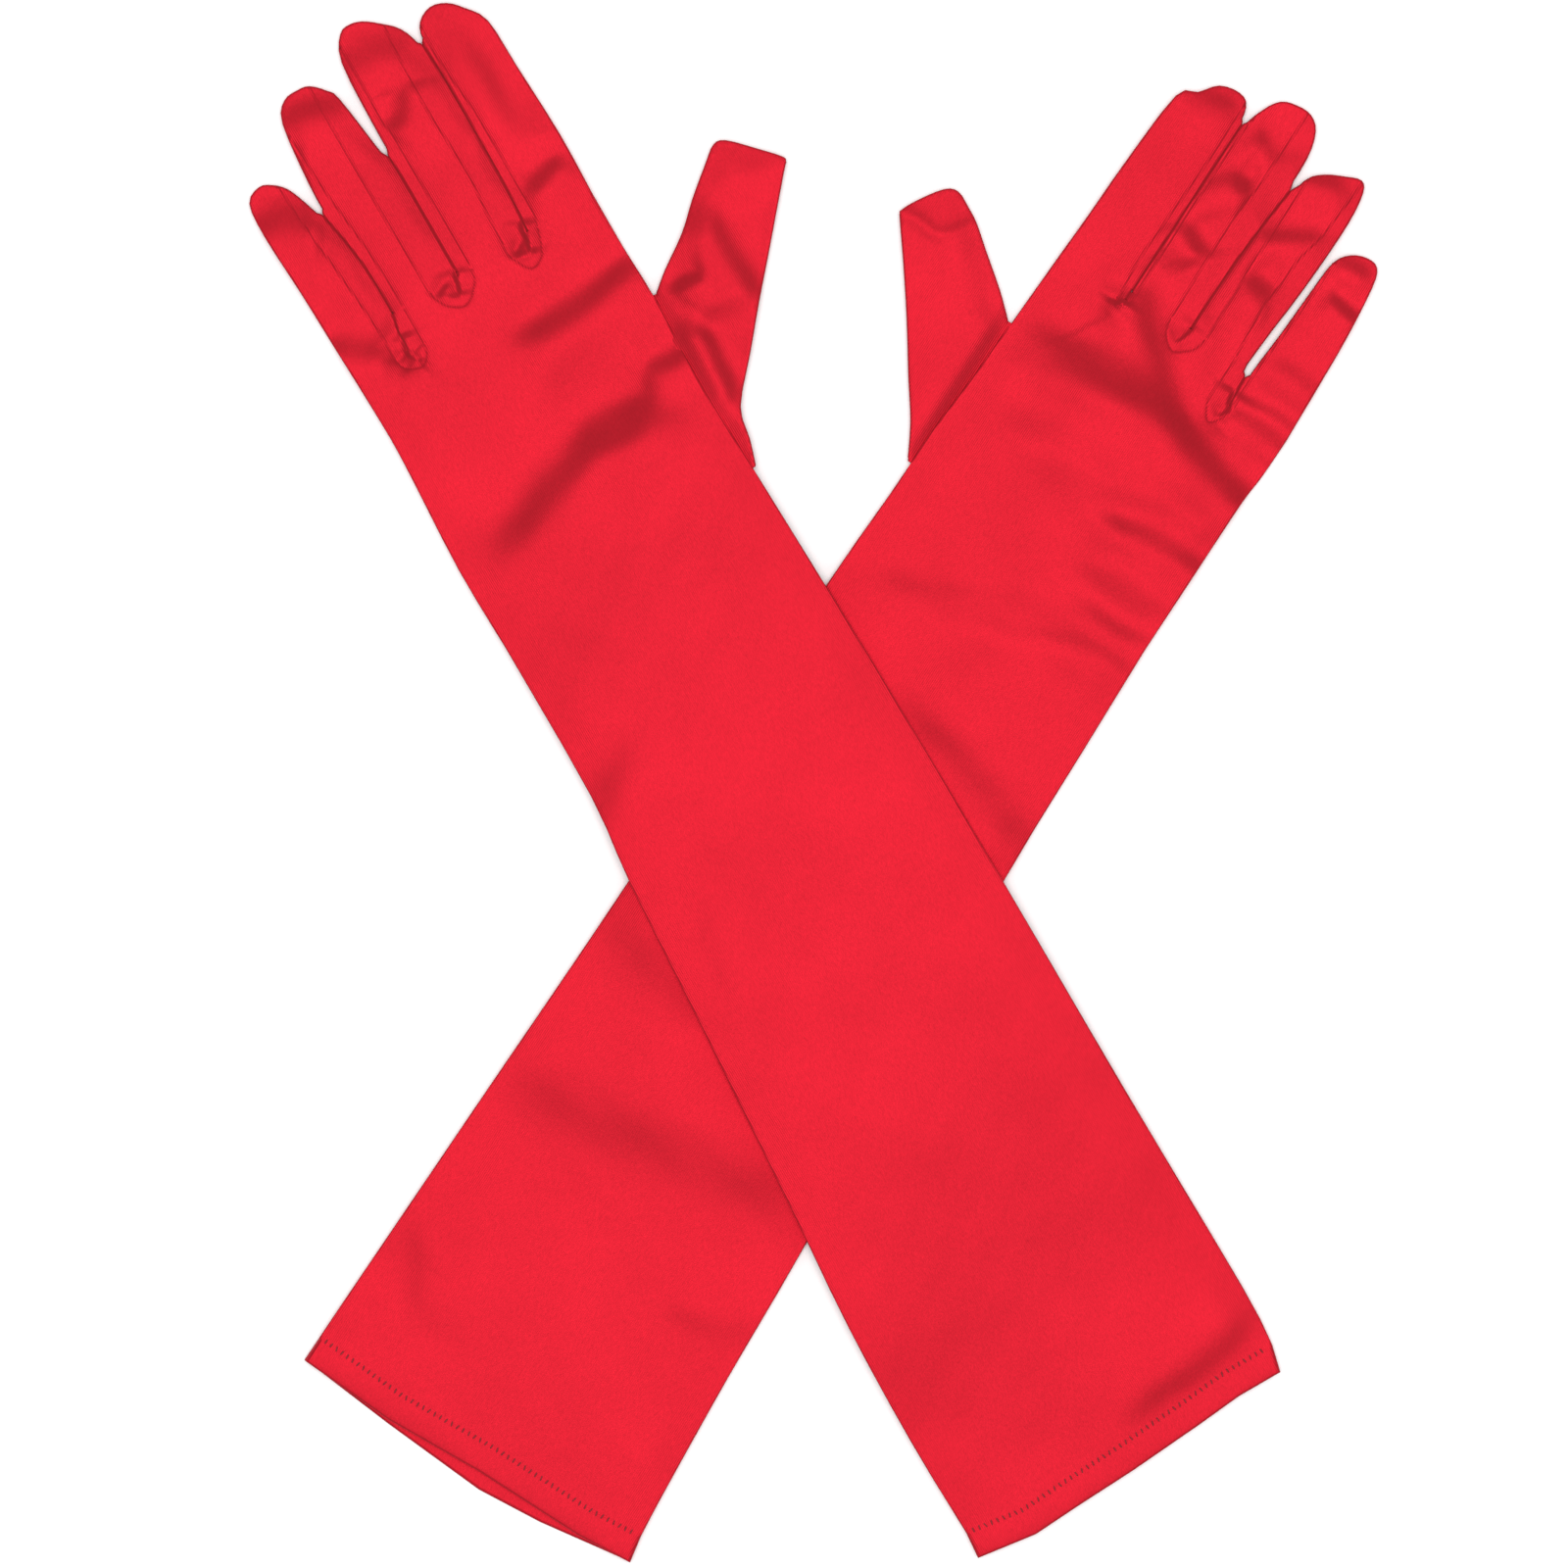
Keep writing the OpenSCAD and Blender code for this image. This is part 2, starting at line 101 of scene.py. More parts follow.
# The hem, its stitches and the side seams, mm
HEM_T, HEM_PUFF = 0.6, 0.15
# Rows round the hem: share of the way from the hem line to the cuff's edge, and how far turned in
HEM_ROWS = ((0, 0), (0.06, 0), (0.15, 0), (0.35, 0), (0.6, 0), (0.8, 0), (0.92, 0), (0.98, 0.08),
            (1, 0.5), (0.98, 0.92), (0.92, 1), (0.7, 1), (0.4, 1), (0.08, 1))
STITCH_PITCH, STITCH_LONG, STITCH_R, STITCH_FROM = 2, 1.9, 0.24, 2.4
WELT, WELT_IN, SEAM_STEP = 0.24, 0.25, 2
WELT_FROM, WELT_TO = 9, 6  # a side seam starts above the hem and ends below the fingertip

# Factors on a piece's cut width for its seams and its rounded outline, and the narrowest cut, m
SEAMS, ROUNDING, NARROWEST = 1.02, 1.08, 0.0101

# Places of the crotches between the fingers, where the cloth is crumpled, mm
CROTCHES = {"left": ((-20.1, 404), (3.8, 417), (28.5, 418)), "right": ((-16.5, 402), (5.6, 406), (27, 391))}
CROTCH_REACH, CROTCH_Z, CROTCH_LONG = 6, 0.25, 7.5

# The thumbs, mm: V of the opening's two ends, and U of its line
THUMB_OPEN = {"left": (322, 383), "right": (327, 379)}
THUMB_ROOT = {"left": 53.8, "right": 44.5}
THUMB_UNDER = 3  # how far a thumb reaches in under the hand
THUMB_LIFT = 0.5  # how far the hand's edge rises over a thumb
LIFT_FROM_U = 35  # and how far from the hand's middle that starts

# Spans of the bends at the joints: V from the wrist's line, and lengths from a root, mm. Their ends are worked
# out, but the cloth is not bent
WRIST_BEND = (-6, 18)
FINGER_BEND, THUMB_BEND = 20, 16

# Colours, linear
LIT, DEEP = (0.470, 0.0065, 0.0182), (0.425, 0.0056, 0.0160)
# Painted shade: the strips along the fingers and the gussets get a slightly darker red, standing in for the shade
# of cloth that slopes away between the fingers. The welts of the side seams use these reds too.
STRIP_PAINTED_SHADE_PALE, STRIP_PAINTED_SHADE_DARK = (0.458, 0.0063, 0.0178), (0.412, 0.0055, 0.0156)
THREAD_RED = (0.24, 0.006, 0.012)
VEIL = (1, 0.50, 0.54)  # what the satin reflects at grazing angles
RIB_SCALE = 520  # ribs 0.6 mm apart
STREAK, WHITE = (0.86, 0.84, 0.84), (1, 1, 1)

# Light
FLOOR_Z = -0.0002
LIGHT_Z, LIGHT_SIZE, LIGHT_POWER = 6, (3.7, 3.7), 270
ROOM = 0.54
LENS, SENSOR = 180, 36
VIEW_WIDTH, VIEW_X = 0.480, -0.009


# ---- small geometry

def smooth(t):
    """An even rise from 0 to 1 that starts and ends softly."""
    t = np.clip(t, 0, 1)
    return t * t * (3 - 2 * t)


def unit(rows):
    """Each row as a direction of length 1."""
    return rows / np.maximum(np.linalg.norm(rows, axis=1), 1e-9)[:, None]


def run_of(line):
    """How far along a line each of its points lies."""
    return np.concatenate(((0,), np.cumsum(np.linalg.norm(np.diff(line, axis=0), axis=1))))


def between(a, b, step):
    """Points from a towards b, at most step apart, without b."""
    n = max(1, int(math.ceil(np.linalg.norm(b - a) / step)))
    return [a + (b - a) * k / n for k in range(n)]


def resampled(line, step):
    """The line's corners with points between them, at most step apart."""
    parts = [between(a, b, step) for a, b in zip(line, line[1:])]
    return np.array(sum(parts, []) + [line[-1]])


def tree_of(points):
    """A search tree of points in the plane."""
    tree = kdtree.KDTree(len(points))
    for i, p in enumerate(points):
        tree.insert((p[0], p[1], 0), i)
    tree.balance()
    return tree


def inside(points, loop):
    """Which points lie inside a closed loop."""
    x, y = points[:, 0], points[:, 1]
    result = np.zeros(len(points), bool)
    for (ax, ay), (bx, by) in zip(loop, np.roll(loop, -1, axis=0)):
        if ay == by:
            continue
        crosses = (ay > y) != (by > y)
        result ^= crosses & (x < (bx - ax) * (y - ay) / (by - ay) + ax)
    return result


# ---- outlines from the CAD

def loose_sides(mesh, low):
    """The sides of a mesh's top or lowest faces that no two of them share, and their ends' places."""
    co = np.array([v.co for v in mesh.vertices])
    level = co[:, 2].min() if low else co[:, 2].max()
    flat = np.abs(co[:, 2] - level) < 1e-5
    key = [tuple(k) for k in np.round(co[:, :2] * 1e5).astype(int)]
    sides, place = {}, {}
    for polygon in mesh.polygons:
        ids = list(polygon.vertices)
        if not all(flat[i] for i in ids):
            continue
        if low:
            ids.reverse()
        for i, j in zip(ids, ids[1:] + ids[:1]):
            place[key[i]] = co[i, :2]
            if (key[j], key[i]) in sides:
                del sides[(key[j], key[i])]
            else:
                sides[(key[i], key[j])] = True
    return sides, place


def chained(sides):
    """The closed loops that the sides make up."""
    following = {}
    for a, b in sides:
        following.setdefault(a, []).append(b)
    loops = []
    while following:
        at = next(iter(following))
        loop = []
        while at in following:
            loop.append(at)
            nexts = following[at]
            step = nexts.pop()
            if not nexts:
                del following[at]
            at = step
        loops.append(loop)
    return loops


def node_loop(glove, node, low=False):
    """A node's outline in its glove's frame, counter-clockwise, of its top or its lowest layer."""
    sides, place = loose_sides(frame["nodes"][glove.full(node)].data, low)
    loop = max(chained(sides), key=len)
    return glove.local(np.array([place[k] for k in loop]))


class Glove:
    """One glove's own frame, and where its fingers and its wrist fold."""

    def __init__(self, side):
        self.side = side
        mount = MOUNTS[self.full("cuff")]
        self.v_axis = -np.array(mount["axis"][:2])
        self.v_axis /= np.linalg.norm(self.v_axis)
        self.u_axis = np.array((self.v_axis[1], -self.v_axis[0]))
        self.origin = np.array(mount["pos_m"][:2])
        self.thumb_sign = 1 if side == "left" else -1
        self.roots = {}
        for digit in DIGITS:
            joint = JOINTS[self.full(digit + "_fold")]
            v = self.local(np.array([joint["pos_m"][:2]]))[0, 1]
            loop = self.all_of(digit)
            base = loop[loop[:, 1] < v + 0.5]
            self.roots[digit] = (v, base[:, 0].min(), base[:, 0].max())
        self.wrist = self.local(np.array([JOINTS[self.full("wrist_fold")]["pos_m"][:2]]))[0, 1]

    def full(self, name):
        """The full name of one of this glove's bodies, nodes or pieces."""
        return f"{self.side}_{name}"

    def local(self, xy):
        d = (xy - self.origin) / MM
        return np.column_stack((d @ self.u_axis, d @ self.v_axis))

    def world(self, uv):
        return self.origin + (uv[:, :1] * self.u_axis + uv[:, 1:2] * self.v_axis) * MM

    def place(self, u, v, z):
        x, y = self.world(np.array([[u, v]]))[0]
        return Vector((x, y, z * MM))

    def all_of(self, digit):
        """Every corner of a digit's pieces, in the glove's frame."""
        names = [n for n in frame["nodes"] if n.startswith(self.full(digit))]
        corners = [[v.co[:2] for v in frame["nodes"][n].data.vertices] for n in names]
        return self.local(np.array(sum(corners, [])))

    def snapped(self, loop):
        """The loop with the corners beside a finger's root moved onto its root line."""
        loop = loop.copy()
        for v, low, high in self.roots.values():
            near = np.abs(loop[:, 1] - v) < 0.25
            near = near & (loop[:, 0] > low - SNAP) & (loop[:, 0] < high + SNAP)
            loop[near, 1] = v
        return loop

    def outline(self, node, low=False):
        return self.snapped(node_loop(self, node, low))


# ---- outlines of the pieces

def start_at(loop, index):
    """The same closed loop, from another of its points on."""
    return np.roll(loop, -index, axis=0)


def hem_parts(glove):
    """The hem line, the upper layer's cuff edge and the lower layer's, each towards +U."""
    lines = []
    for low in (False, True):
        loop = glove.outline("cuff_hem", low)
        left = np.argsort(loop[:, 0])[:2]
        right = np.argsort(loop[:, 0])[-2:]
        cuff_left = left[np.argmin(loop[left, 1])]
        cuff_right = right[np.argmin(loop[right, 1])]
        turned = start_at(loop, cuff_left)
        count = (cuff_right - cuff_left) % len(loop) + 1
        lines.append((turned[count:][::-1], turned[:count]))
    return lines[0][0], lines[0][1], lines[1][1]


def sleeve_side(glove, sign):
    """One long edge of the forearm panel, upwards from the hem line."""
    mesh = frame["nodes"][glove.full("forearm_panel")].data
    corners = glove.local(np.array([v.co[:2] for v in mesh.vertices]))
    corners = np.unique(np.round(corners, 2), axis=0)
    corners = corners[corners[:, 0] * sign > HALF_SLEEVE_MIN]
    edge = []
    for corner in corners[np.argsort(corners[:, 1])]:
        level = corners[np.abs(corners[:, 1] - corner[1]) < 0.6, 0] * sign
        if corner[0] * sign < level.max() - 0.3:
            continue
        if not edge or corner[1] > edge[-1][1] + 0.3:
            edge.append(corner)
    return np.array(edge)


def trank_loop(glove, hem_line):
    """The outline of the sleeve and the hand in one."""
    hand = glove.outline("hand_panel")
    low = hand[:, 1] < glove.wrist + 0.5
    right = np.flatnonzero(low)[np.argmax(hand[low, 0])]
    left = np.flatnonzero(low)[np.argmin(hand[low, 0])]
    count = (left - right) % len(hand) + 1
    above = start_at(hand, right)[:count]
    right_side, left_side = (sleeve_side(glove, sign)[1:] for sign in (1, -1))
    return np.vstack((hem_line, right_side, above, left_side[::-1]))


def piece_nodes(glove):
    """The CAD nodes of the gussets and the fingers, without the side seams."""
    start = glove.full("")
    names = [n[len(start):] for n in frame["nodes"] if n.startswith(start)]
    fingers = [n for n in names if n.split("_")[0] in DIGITS and not n.endswith("seam")]
    return sorted(n for n in names if n.startswith("gusset")), sorted(fingers)


class Outline:
    """A piece's outline, finely divided, with the kind of every stretch of it."""

    def __init__(self, glove, name, loop, others=(), hem=0, root=0):
        self.name = name
        points, kinds = [], []
        ends = np.roll(loop, -1, axis=0)
        for i, (a, b) in enumerate(zip(loop, ends)):
            kind = "side"
            if i < hem:
                kind = "hem"
            elif i >= len(loop) - root:
                kind = "root"
            if np.linalg.norm(b - a) < 1e-6:
                continue
            part = between(a, b, EDGE_STEP)
            points += part
            kinds += [kind] * len(part)
        self.kinds = np.array(kinds)
        self.move(np.array(points))
        self.middle = (self.points + self.ends) / 2
        self._find_seams(others)
        self._find_roots(glove)

    def _find_seams(self, others):
        beyond = self.middle + 0.3 * self.out
        for other in others:
            covered = inside(beyond, other) & (self.kinds == "side")
            self.kinds[covered] = "seam"

    def _find_roots(self, glove):
        level = np.abs(self.ends[:, 1] - self.points[:, 1]) < 0.05
        for v, low, high in glove.roots.values():
            beyond = np.maximum(low - self.middle[:, 0], self.middle[:, 0] - high)
            level_here = level & (np.abs(self.middle[:, 1] - v) < 0.1) & (self.kinds != "hem")
            reach = np.where(self.kinds == "seam", SNAP, 0.3)
            self.kinds[level_here & (beyond < reach)] = "root"

    def move(self, points):
        """Gives the outline new places for its points."""
        self.points = points
        self.ends = np.roll(points, -1, axis=0)
        run = self.ends - self.points
        self.out = unit(np.column_stack((run[:, 1], -run[:, 0])))

    def stretch(self, kind):
        """The stretches of one kind, as rows (au, av, bu, bv)."""
        chosen = self.kinds == kind
        return np.hstack((self.points[chosen], self.ends[chosen]))

    def at(self, *kinds):
        """Which points lie at the ends of stretches of these kinds."""
        chosen = np.isin(self.kinds, kinds)
        return chosen | np.roll(chosen, 1)

    def outward(self, kind):
        """At each point, the sum of the directions out of its one or two stretches of a kind."""
        out = self.out * (self.kinds == kind)[:, None]
        return out + np.roll(out, 1, axis=0)

    def inward(self, kind):
        """Points of the given kind of stretch, with the direction into the piece."""
        out = self.outward(kind)[self.at(kind)]
        return self.points[self.at(kind)], -out / np.maximum(np.linalg.norm(out, axis=1), 0.3)[:, None]


def narrowed(loop):
    """A gusset's outline, with the broad end of a slit in it drawn together."""
    loop = loop.copy()
    for i, (u, v) in enumerate(loop):
        before, after = loop[i - 1], loop[(i + 1) % len(loop)]
        if abs(before[1] - v) < 0.4 and abs(after[0] - u) < 0.1 and after[1] - v > SLIT_LONG:
            loop[i, 0] += (before[0] - u) * DRAWN
    return loop


def slit_limit(glove, p):
    """How wide a slit between two fingers may be, at a place, for it to close up."""
    if glove.side == "right" and p[0] > GAP_FROM_U:
        return GAP_LIMIT * float(smooth((GAP_FROM_V + 6 - p[1]) / 8))
    return SLIT_CLOSED


def close_slits(glove, outlines):
    """Widens neighbouring fingers, where they lie close together, until they touch."""
    group = {n: n.split("_")[0] if n.split("_")[0] in DIGITS else "hand" for n in outlines}
    near = [(group[n], p) for n, o in outlines.items() for p in o.points[o.at("side")]]
    tree = tree_of([p for _, p in near])
    moved = {}
    for name, outline in outlines.items():
        points = outline.points.copy()
        out = outline.outward("side")
        for i in np.flatnonzero(outline.at("side")):
            p = outline.points[i]
            limit = slit_limit(glove, p)
            facing = out[i] / max(np.linalg.norm(out[i]), 1e-9)
            gaps = [gap for _, k, gap in tree.find_range((p[0], p[1], 0), limit)
                    if near[k][0] != group[name] and (near[k][1] - p) @ facing > 0.7 * gap]
            if gaps and min(gaps) > TOUCHING:
                gap = min(gaps)
                share = smooth((limit - gap) / 0.5) * (0.5 + OVERLAP / gap)
                points[i] = p + facing * gap * share
        moved[name] = points
    for name, outline in outlines.items():
        outline.move(moved[name])


class Lines:
    """Distances to a set of short straight stretches."""

    def __init__(self, rows):
        self.rows = rows
        self.tree = tree_of((rows[:, :2] + rows[:, 2:]) / 2)

    def __call__(self, points):
        near = np.array([[f[1] for f in self.tree.find_n((p[0], p[1], 0), 3)] for p in points])
        best = np.full(len(points), 1e9)
        for k in range(near.shape[1]):
            row = self.rows[near[:, k]]
            a, d = row[:, :2], row[:, 2:] - row[:, :2]
            t = np.clip(((points - a) * d).sum(1) / np.maximum((d * d).sum(1), 1e-12), 0, 1)
            best = np.minimum(best, np.linalg.norm(points - a - t[:, None] * d, axis=1))
        return best


# ---- how the cloth lies

class Fold:
    """A soft fold along a line of (u, v) points: a ridge, or a step that is high on its left."""

    def __init__(self, line, height, width, fade, kind="step"):
        self.height, self.width, self.fade, self.kind = height, width, fade, kind
        self.line = smooth_line(np.array(line, float))
        self.soft = width > CREASE

    def _beside(self, points):
        """How far each point is from the line, to its left, and how far along the line it lies."""
        a, b = self.line[:-1], self.line[1:]
        d = b - a
        length = np.linalg.norm(d, axis=1)
        start = run_of(self.line)
        best = np.full(len(points), 1e9)
        across = np.zeros(len(points))
        along = np.zeros(len(points))
        for i in range(len(a)):
            rel = points - a[i]
            t = np.clip(rel @ d[i] / (length[i] ** 2), 0, 1)
            off = rel - t[:, None] * d[i]
            dist = np.linalg.norm(off, axis=1)
            closer = dist < best
            side = np.sign(d[i, 0] * rel[:, 1] - d[i, 1] * rel[:, 0])
            best[closer] = dist[closer]
            across[closer] = (dist * side)[closer]
            along[closer] = (start[i] + t * length[i])[closer]
        return across, along, start[-1]

    def __call__(self, points):
        if self.soft:
            seed = self.line[0, 0] * 0.3
            stray = np.column_stack([wander(points, STRAY[k], seed + 2 * k) for k in (0, 1)])
            points = points + WARP * stray
        across, along, total = self._beside(points)
        fade = min(self.fade, total / 2)
        ends = smooth(along / fade) * smooth((total - along) / fade)
        s = across / self.width
        if self.kind == "ridge":
            return self.height * ends * np.exp(-s * s / 2)
        return self.height * ends * np.tanh(s) * np.exp(-s * s / (SOFT_SPAN if self.soft else CREASE_SPAN))


def smooth_line(p, steps=6):
    """A smooth curve through every point."""
    if len(p) < 3:
        return p
    full = np.vstack((2 * p[0] - p[1], p, 2 * p[-1] - p[-2]))
    out = []
    for a, b, c, d in zip(full, full[1:], full[2:], full[3:]):
        for t in np.arange(steps) / steps:
            out.append((2 * b + (c - a) * t + (2 * a - 5 * b + 4 * c - d) * t * t
                        + (3 * b - 3 * c + d - a) * t ** 3) / 2)
    out.append(p[-1])
    return np.array(out)


def wander(points, size, seed):
    """A slow, smooth rise and fall of about +-1 over the cloth."""
    u, v = points[:, 0], points[:, 1]
    total = np.zeros(len(points))
    for k in range(4):
        turn = seed * 1.7 + k * 2.4
        pitch = size * (0.7 + 0.35 * k)
        way = u * math.cos(turn) + v * math.sin(turn)
        total += np.sin(2 * math.pi * way / pitch + seed * 3.1 + k * 1.9)
    return total / 4


class Lay:
    """The heights of one glove's two layers of cloth above the floor, in mm."""

    def __init__(self, glove, sides, seams, folds, thumb):
        self.glove, self.side, self.thumb = glove, Lines(sides), thumb
        self.folds = [Fold(*row) for row in folds]
        self.seam = Lines(seams) if len(seams) else None
        self.first_root = min(r[0] for r in glove.roots.values())

    def _lift(self, uv):
        """Raises the outline of the hand over the thumb that comes out from under it."""
        low, high = THUMB_OPEN[self.glove.side]
        u, v = uv[:, 0] * self.glove.thumb_sign, uv[:, 1]
        beside = smooth((v - low + 6) / 8) * smooth((high + 3 - v) / 6)
        return THUMB_LIFT * beside * smooth((u - LIFT_FROM_U) / 8)

    def _drape(self, uv):
        """The upper sleeve's rise over the lower sleeve."""
        if self.glove.side == "right":
            return np.zeros(len(uv))
        across = ACROSS[0] + ACROSS[1] * uv[:, 0] + ACROSS[2] * uv[:, 1]
        low, high = OVER_EDGE
        rise = smooth((across - low + SLOPE) / (SLOPE + 6)) * smooth((high + SLOPE - across) / (SLOPE + 6))
        return OVER_Z * rise

    def __call__(self, uv):
        """Heights of the upper and the lower layer."""
        d = self.side(uv)
        if self.thumb:
            height, reach = np.full(len(uv), THUMB_Z), np.full(len(uv), THUMB_ROUND)
            side = np.full(len(uv), THUMB_SIDE_Z)
            from_root = uv[:, 0] * self.glove.thumb_sign - THUMB_ROOT[self.glove.side]
            puff = THUMB_PUFF_Z * smooth(d / THUMB_PUFF_REACH) * smooth(from_root / 14.0)
            sunk = THUMB_ROOT_Z * (1 - smooth((from_root + 3) / 7.0))
            height, side = height - sunk, side - sunk
        else:
            to_finger = smooth((uv[:, 1] - self.first_root + TO_FINGER / 2 - 1) / TO_FINGER)
            height = SLEEVE_Z + (FINGER_Z - SLEEVE_Z) * to_finger
            reach = SLEEVE_ROUND + (FINGER_ROUND - SLEEVE_ROUND) * to_finger
            side = SIDE_Z + (FINGER_SIDE_Z - SIDE_Z) * to_finger + self._lift(uv)
            puff = PUFF_Z * smooth(d / PUFF_REACH) * (1 - 0.3 * to_finger)
        round_off = np.sqrt(1 - (1 - np.clip(d / reach, 0, 1)) ** 2)
        bumps = sum((fold(uv) for fold in self.folds), np.zeros(len(uv)))
        seed = 1.0 if self.glove.side == "left" else 2.3
        bumps += WANDER_Z * wander(uv, WANDER_LONG, seed) + RIPPLE_Z * wander(uv, RIPPLE_LONG, seed + 4)
        for crotch in () if self.thumb else CROTCHES[self.glove.side]:
            near = np.exp(-((uv - crotch) ** 2).sum(1) / CROTCH_REACH ** 2)
            bumps += CROTCH_Z * near * wander(uv, CROTCH_LONG, seed + crotch[1])
        bumps = np.where(bumps < 0, LOWEST * np.tanh(bumps / LOWEST), bumps)
        side = side + bumps
        upper = side + (height + bumps - side) * round_off + puff
        if self.seam is not None:
            s = self.seam(uv)
            groove = SEAM_DEEP * np.exp(-s / SEAM_WIDE)
            upper -= groove * smooth(d / 1.2)
        lower = side - (side - UNDER_Z) * round_off
        drape = self._drape(uv)
        return upper + drape, np.minimum(lower, upper - 0.3 * smooth(d / 1.5)) + drape

    def slopes(self, uv, h=0.25):
        """The upward normals' U, V parts of the upper and of the lower layer."""
        du, dv = np.array((h, 0)), np.array((0, h))
        east, west, north, south = (self(uv + s) for s in (du, -du, dv, -dv))
        return [np.column_stack((west[k] - east[k], south[k] - north[k])) / (2 * h) for k in (0, 1)]


# Folds: line of (u, v), height, width, length of the fade at its ends, and the kind if not a step
LEFT_FOLDS = [
    ([(4, 391), (22, 391), (38, 392), (62, 396)], -1.4, 5, 14),
    ([(-38, 336), (-14, 344), (6, 351), (28, 351), (50, 349)], -1.6, 6.6, 24),
    ([(2, 357), (22, 358), (44, 355)], -1.1, 5, 14),
    ([(36, 364), (46, 363), (58, 364)], -0.9, 3.4, 7),
    ([(-46, 420), (-34, 414), (-22, 408)], -1.2, 4.8, 8),
    ([(-46, 462), (-34, 460), (-22, 456)], -1.3, 7, 5),
    ([(-26, 484), (-10, 485), (4, 478)], -0.8, 5, 8),
    ([(7, 466), (14, 468.5), (17.5, 473), (19, 478)], -0.9, 3.4, 5),
    ([(2, 490), (16, 491), (30, 486)], -0.7, 5.6, 6),
    ([(32, 430), (42, 431), (52, 435)], -1, 3.2, 7),
    ([(41, 440), (42, 464), (41, 488)], 1.1, 4.6, 16),
    ([(1.5, 424), (2.6, 450), (-1, 476)], 0.45, 2.4, 10),
    ([(28.5, 426), (29.4, 450), (28, 484)], 0.45, 2.4, 10),
    ([(-20.4, 416), (-21, 440), (-24, 460)], 0.45, 2.4, 8),
    ([(0, 12), (30, 15), (46, 18), (64, 26)], 0.8, 4.8, 20),
    ([(-46, 160), (-32, 200), (-24, 240)], 0.9, 8, 34),
    ([(-60, 246), (-38, 257), (-16, 274)], -0.8, 6.5, 20),
    ([(-19.8, 412), (-20.6, 407), (-21, 404.5), (-19.6, 401.5)], 0.7, 0.55, 3),
    ([(-24.5, 403), (-22.5, 405), (-20.5, 406.5)], -0.5, 1.3, 2),
    ([(-20, 400.8), (-17, 402)], 0.4, 0.6, 1.5),
    ([(4.4, 421), (3.4, 418), (2.6, 414.5), (1.8, 411.5)], 0.7, 0.55, 3),
    ([(-4, 414), (-1, 416.5), (3, 418)], -0.55, 1.5, 3),
    ([(29.6, 424), (28.2, 420.6), (28, 417), (26.6, 412)], 0.8, 0.6, 3),
    ([(22, 414), (25, 416.5), (28, 418.5)], -0.55, 1.5, 3),
]
RIGHT_FOLDS = [
    ([(-22, 412), (-10, 407), (0, 396), (9, 386), (24, 378), (58, 370)], -2.7, 6.4, 14),
    ([(-46, 378), (-14, 381), (20, 376)], -3, 8.8, 26),
    ([(-30, 370), (0, 371), (40, 366)], 1.3, 15, 22, "ridge"),
    ([(-40, 352), (-16, 358), (8, 361), (30, 362), (60, 361)], -1.6, 7.5, 24),
    ([(4, 343), (26, 346), (58, 347)], -1.6, 5.2, 16),
    ([(10, 332), (28, 334), (54, 336)], -0.6, 3.6, 16),
    ([(12, 318), (30, 318), (54, 319)], -0.9, 4, 16),
    ([(14, 307), (32, 309), (54, 308)], -0.6, 3.6, 16),
    ([(-50, 284), (-15, 300), (18, 312), (50, 321)], -0.6, 6, 30),
    ([(-24, 290), (6, 300), (30, 305), (50, 302)], -0.4, 4, 22),
    ([(-20, 268), (8, 261), (32, 253), (60, 243)], -1.25, 8, 24),
    ([(22, 386), (38, 386), (58, 385)], -1.1, 3.6, 9),
    ([(24, 397.5), (39, 397.5), (58, 397.5)], -0.9, 3.2, 9),
    ([(28, 411), (40, 411), (54, 410)], -0.4, 3, 9),
    ([(34, 439), (41, 438), (50, 436)], -0.8, 2.6, 5),
    ([(-12, 455), (-6, 453), (1, 453)], -1.2, 3.8, 5),
    ([(-14, 437), (-7, 431), (0, 426)], -1.2, 3.4, 6),
    ([(-12, 468), (-4, 467), (3, 462)], -0.8, 4.2, 6),
    ([(9, 429), (16, 428), (24, 428)], -1.2, 4, 6),
    ([(6, 442), (16, 448), (28, 455)], -0.8, 3.4, 8),
    ([(6, 462), (14, 465), (24, 471)], -0.6, 3, 6),
    ([(30, 447), (36, 450), (46, 450)], -0.6, 2.8, 5),
    ([(-44, 468), (-30, 470), (-14, 470)], -0.6, 4, 8),
    ([(-30, 402), (-20, 403), (-12, 402)], -0.6, 4, 7),
    ([(5.4, 410), (6, 425), (7.4, 446)], -0.5, 1.6, 6),
    ([(-54, 52), (-42, 38), (-36, 18)], 0.9, 6, 16),
    ([(20, 64), (42, 70), (62, 76)], 0.7, 6, 16),
    ([(-62, 100), (0, 108), (62, 120)], 2.9, 16, 30),
    ([(-62, 152), (0, 157), (62, 168)], 2.7, 16, 30),
    ([(6.2, 410), (5.4, 405.5), (4.4, 402.5), (3, 400)], 0.7, 0.55, 3),
    ([(0, 402), (2.5, 404.5), (5.4, 406.6)], -0.5, 1.4, 2.5),
    ([(-17.4, 404), (-17.3, 400.8)], 0.7, 0.5, 1.5),
    ([(26.8, 399), (27, 395), (28.2, 392), (26.4, 387.6)], 0.7, 0.6, 3),
]
LEFT_THUMB_FOLDS = [
    ([(57, 380), (63, 382), (71, 380)], -1, 2.6, 5),
    ([(58, 336), (60, 352), (62, 374)], 1.8, 4, 10),
    ([(80, 358), (81, 378), (82, 404)], 1.8, 5.6, 14),
]
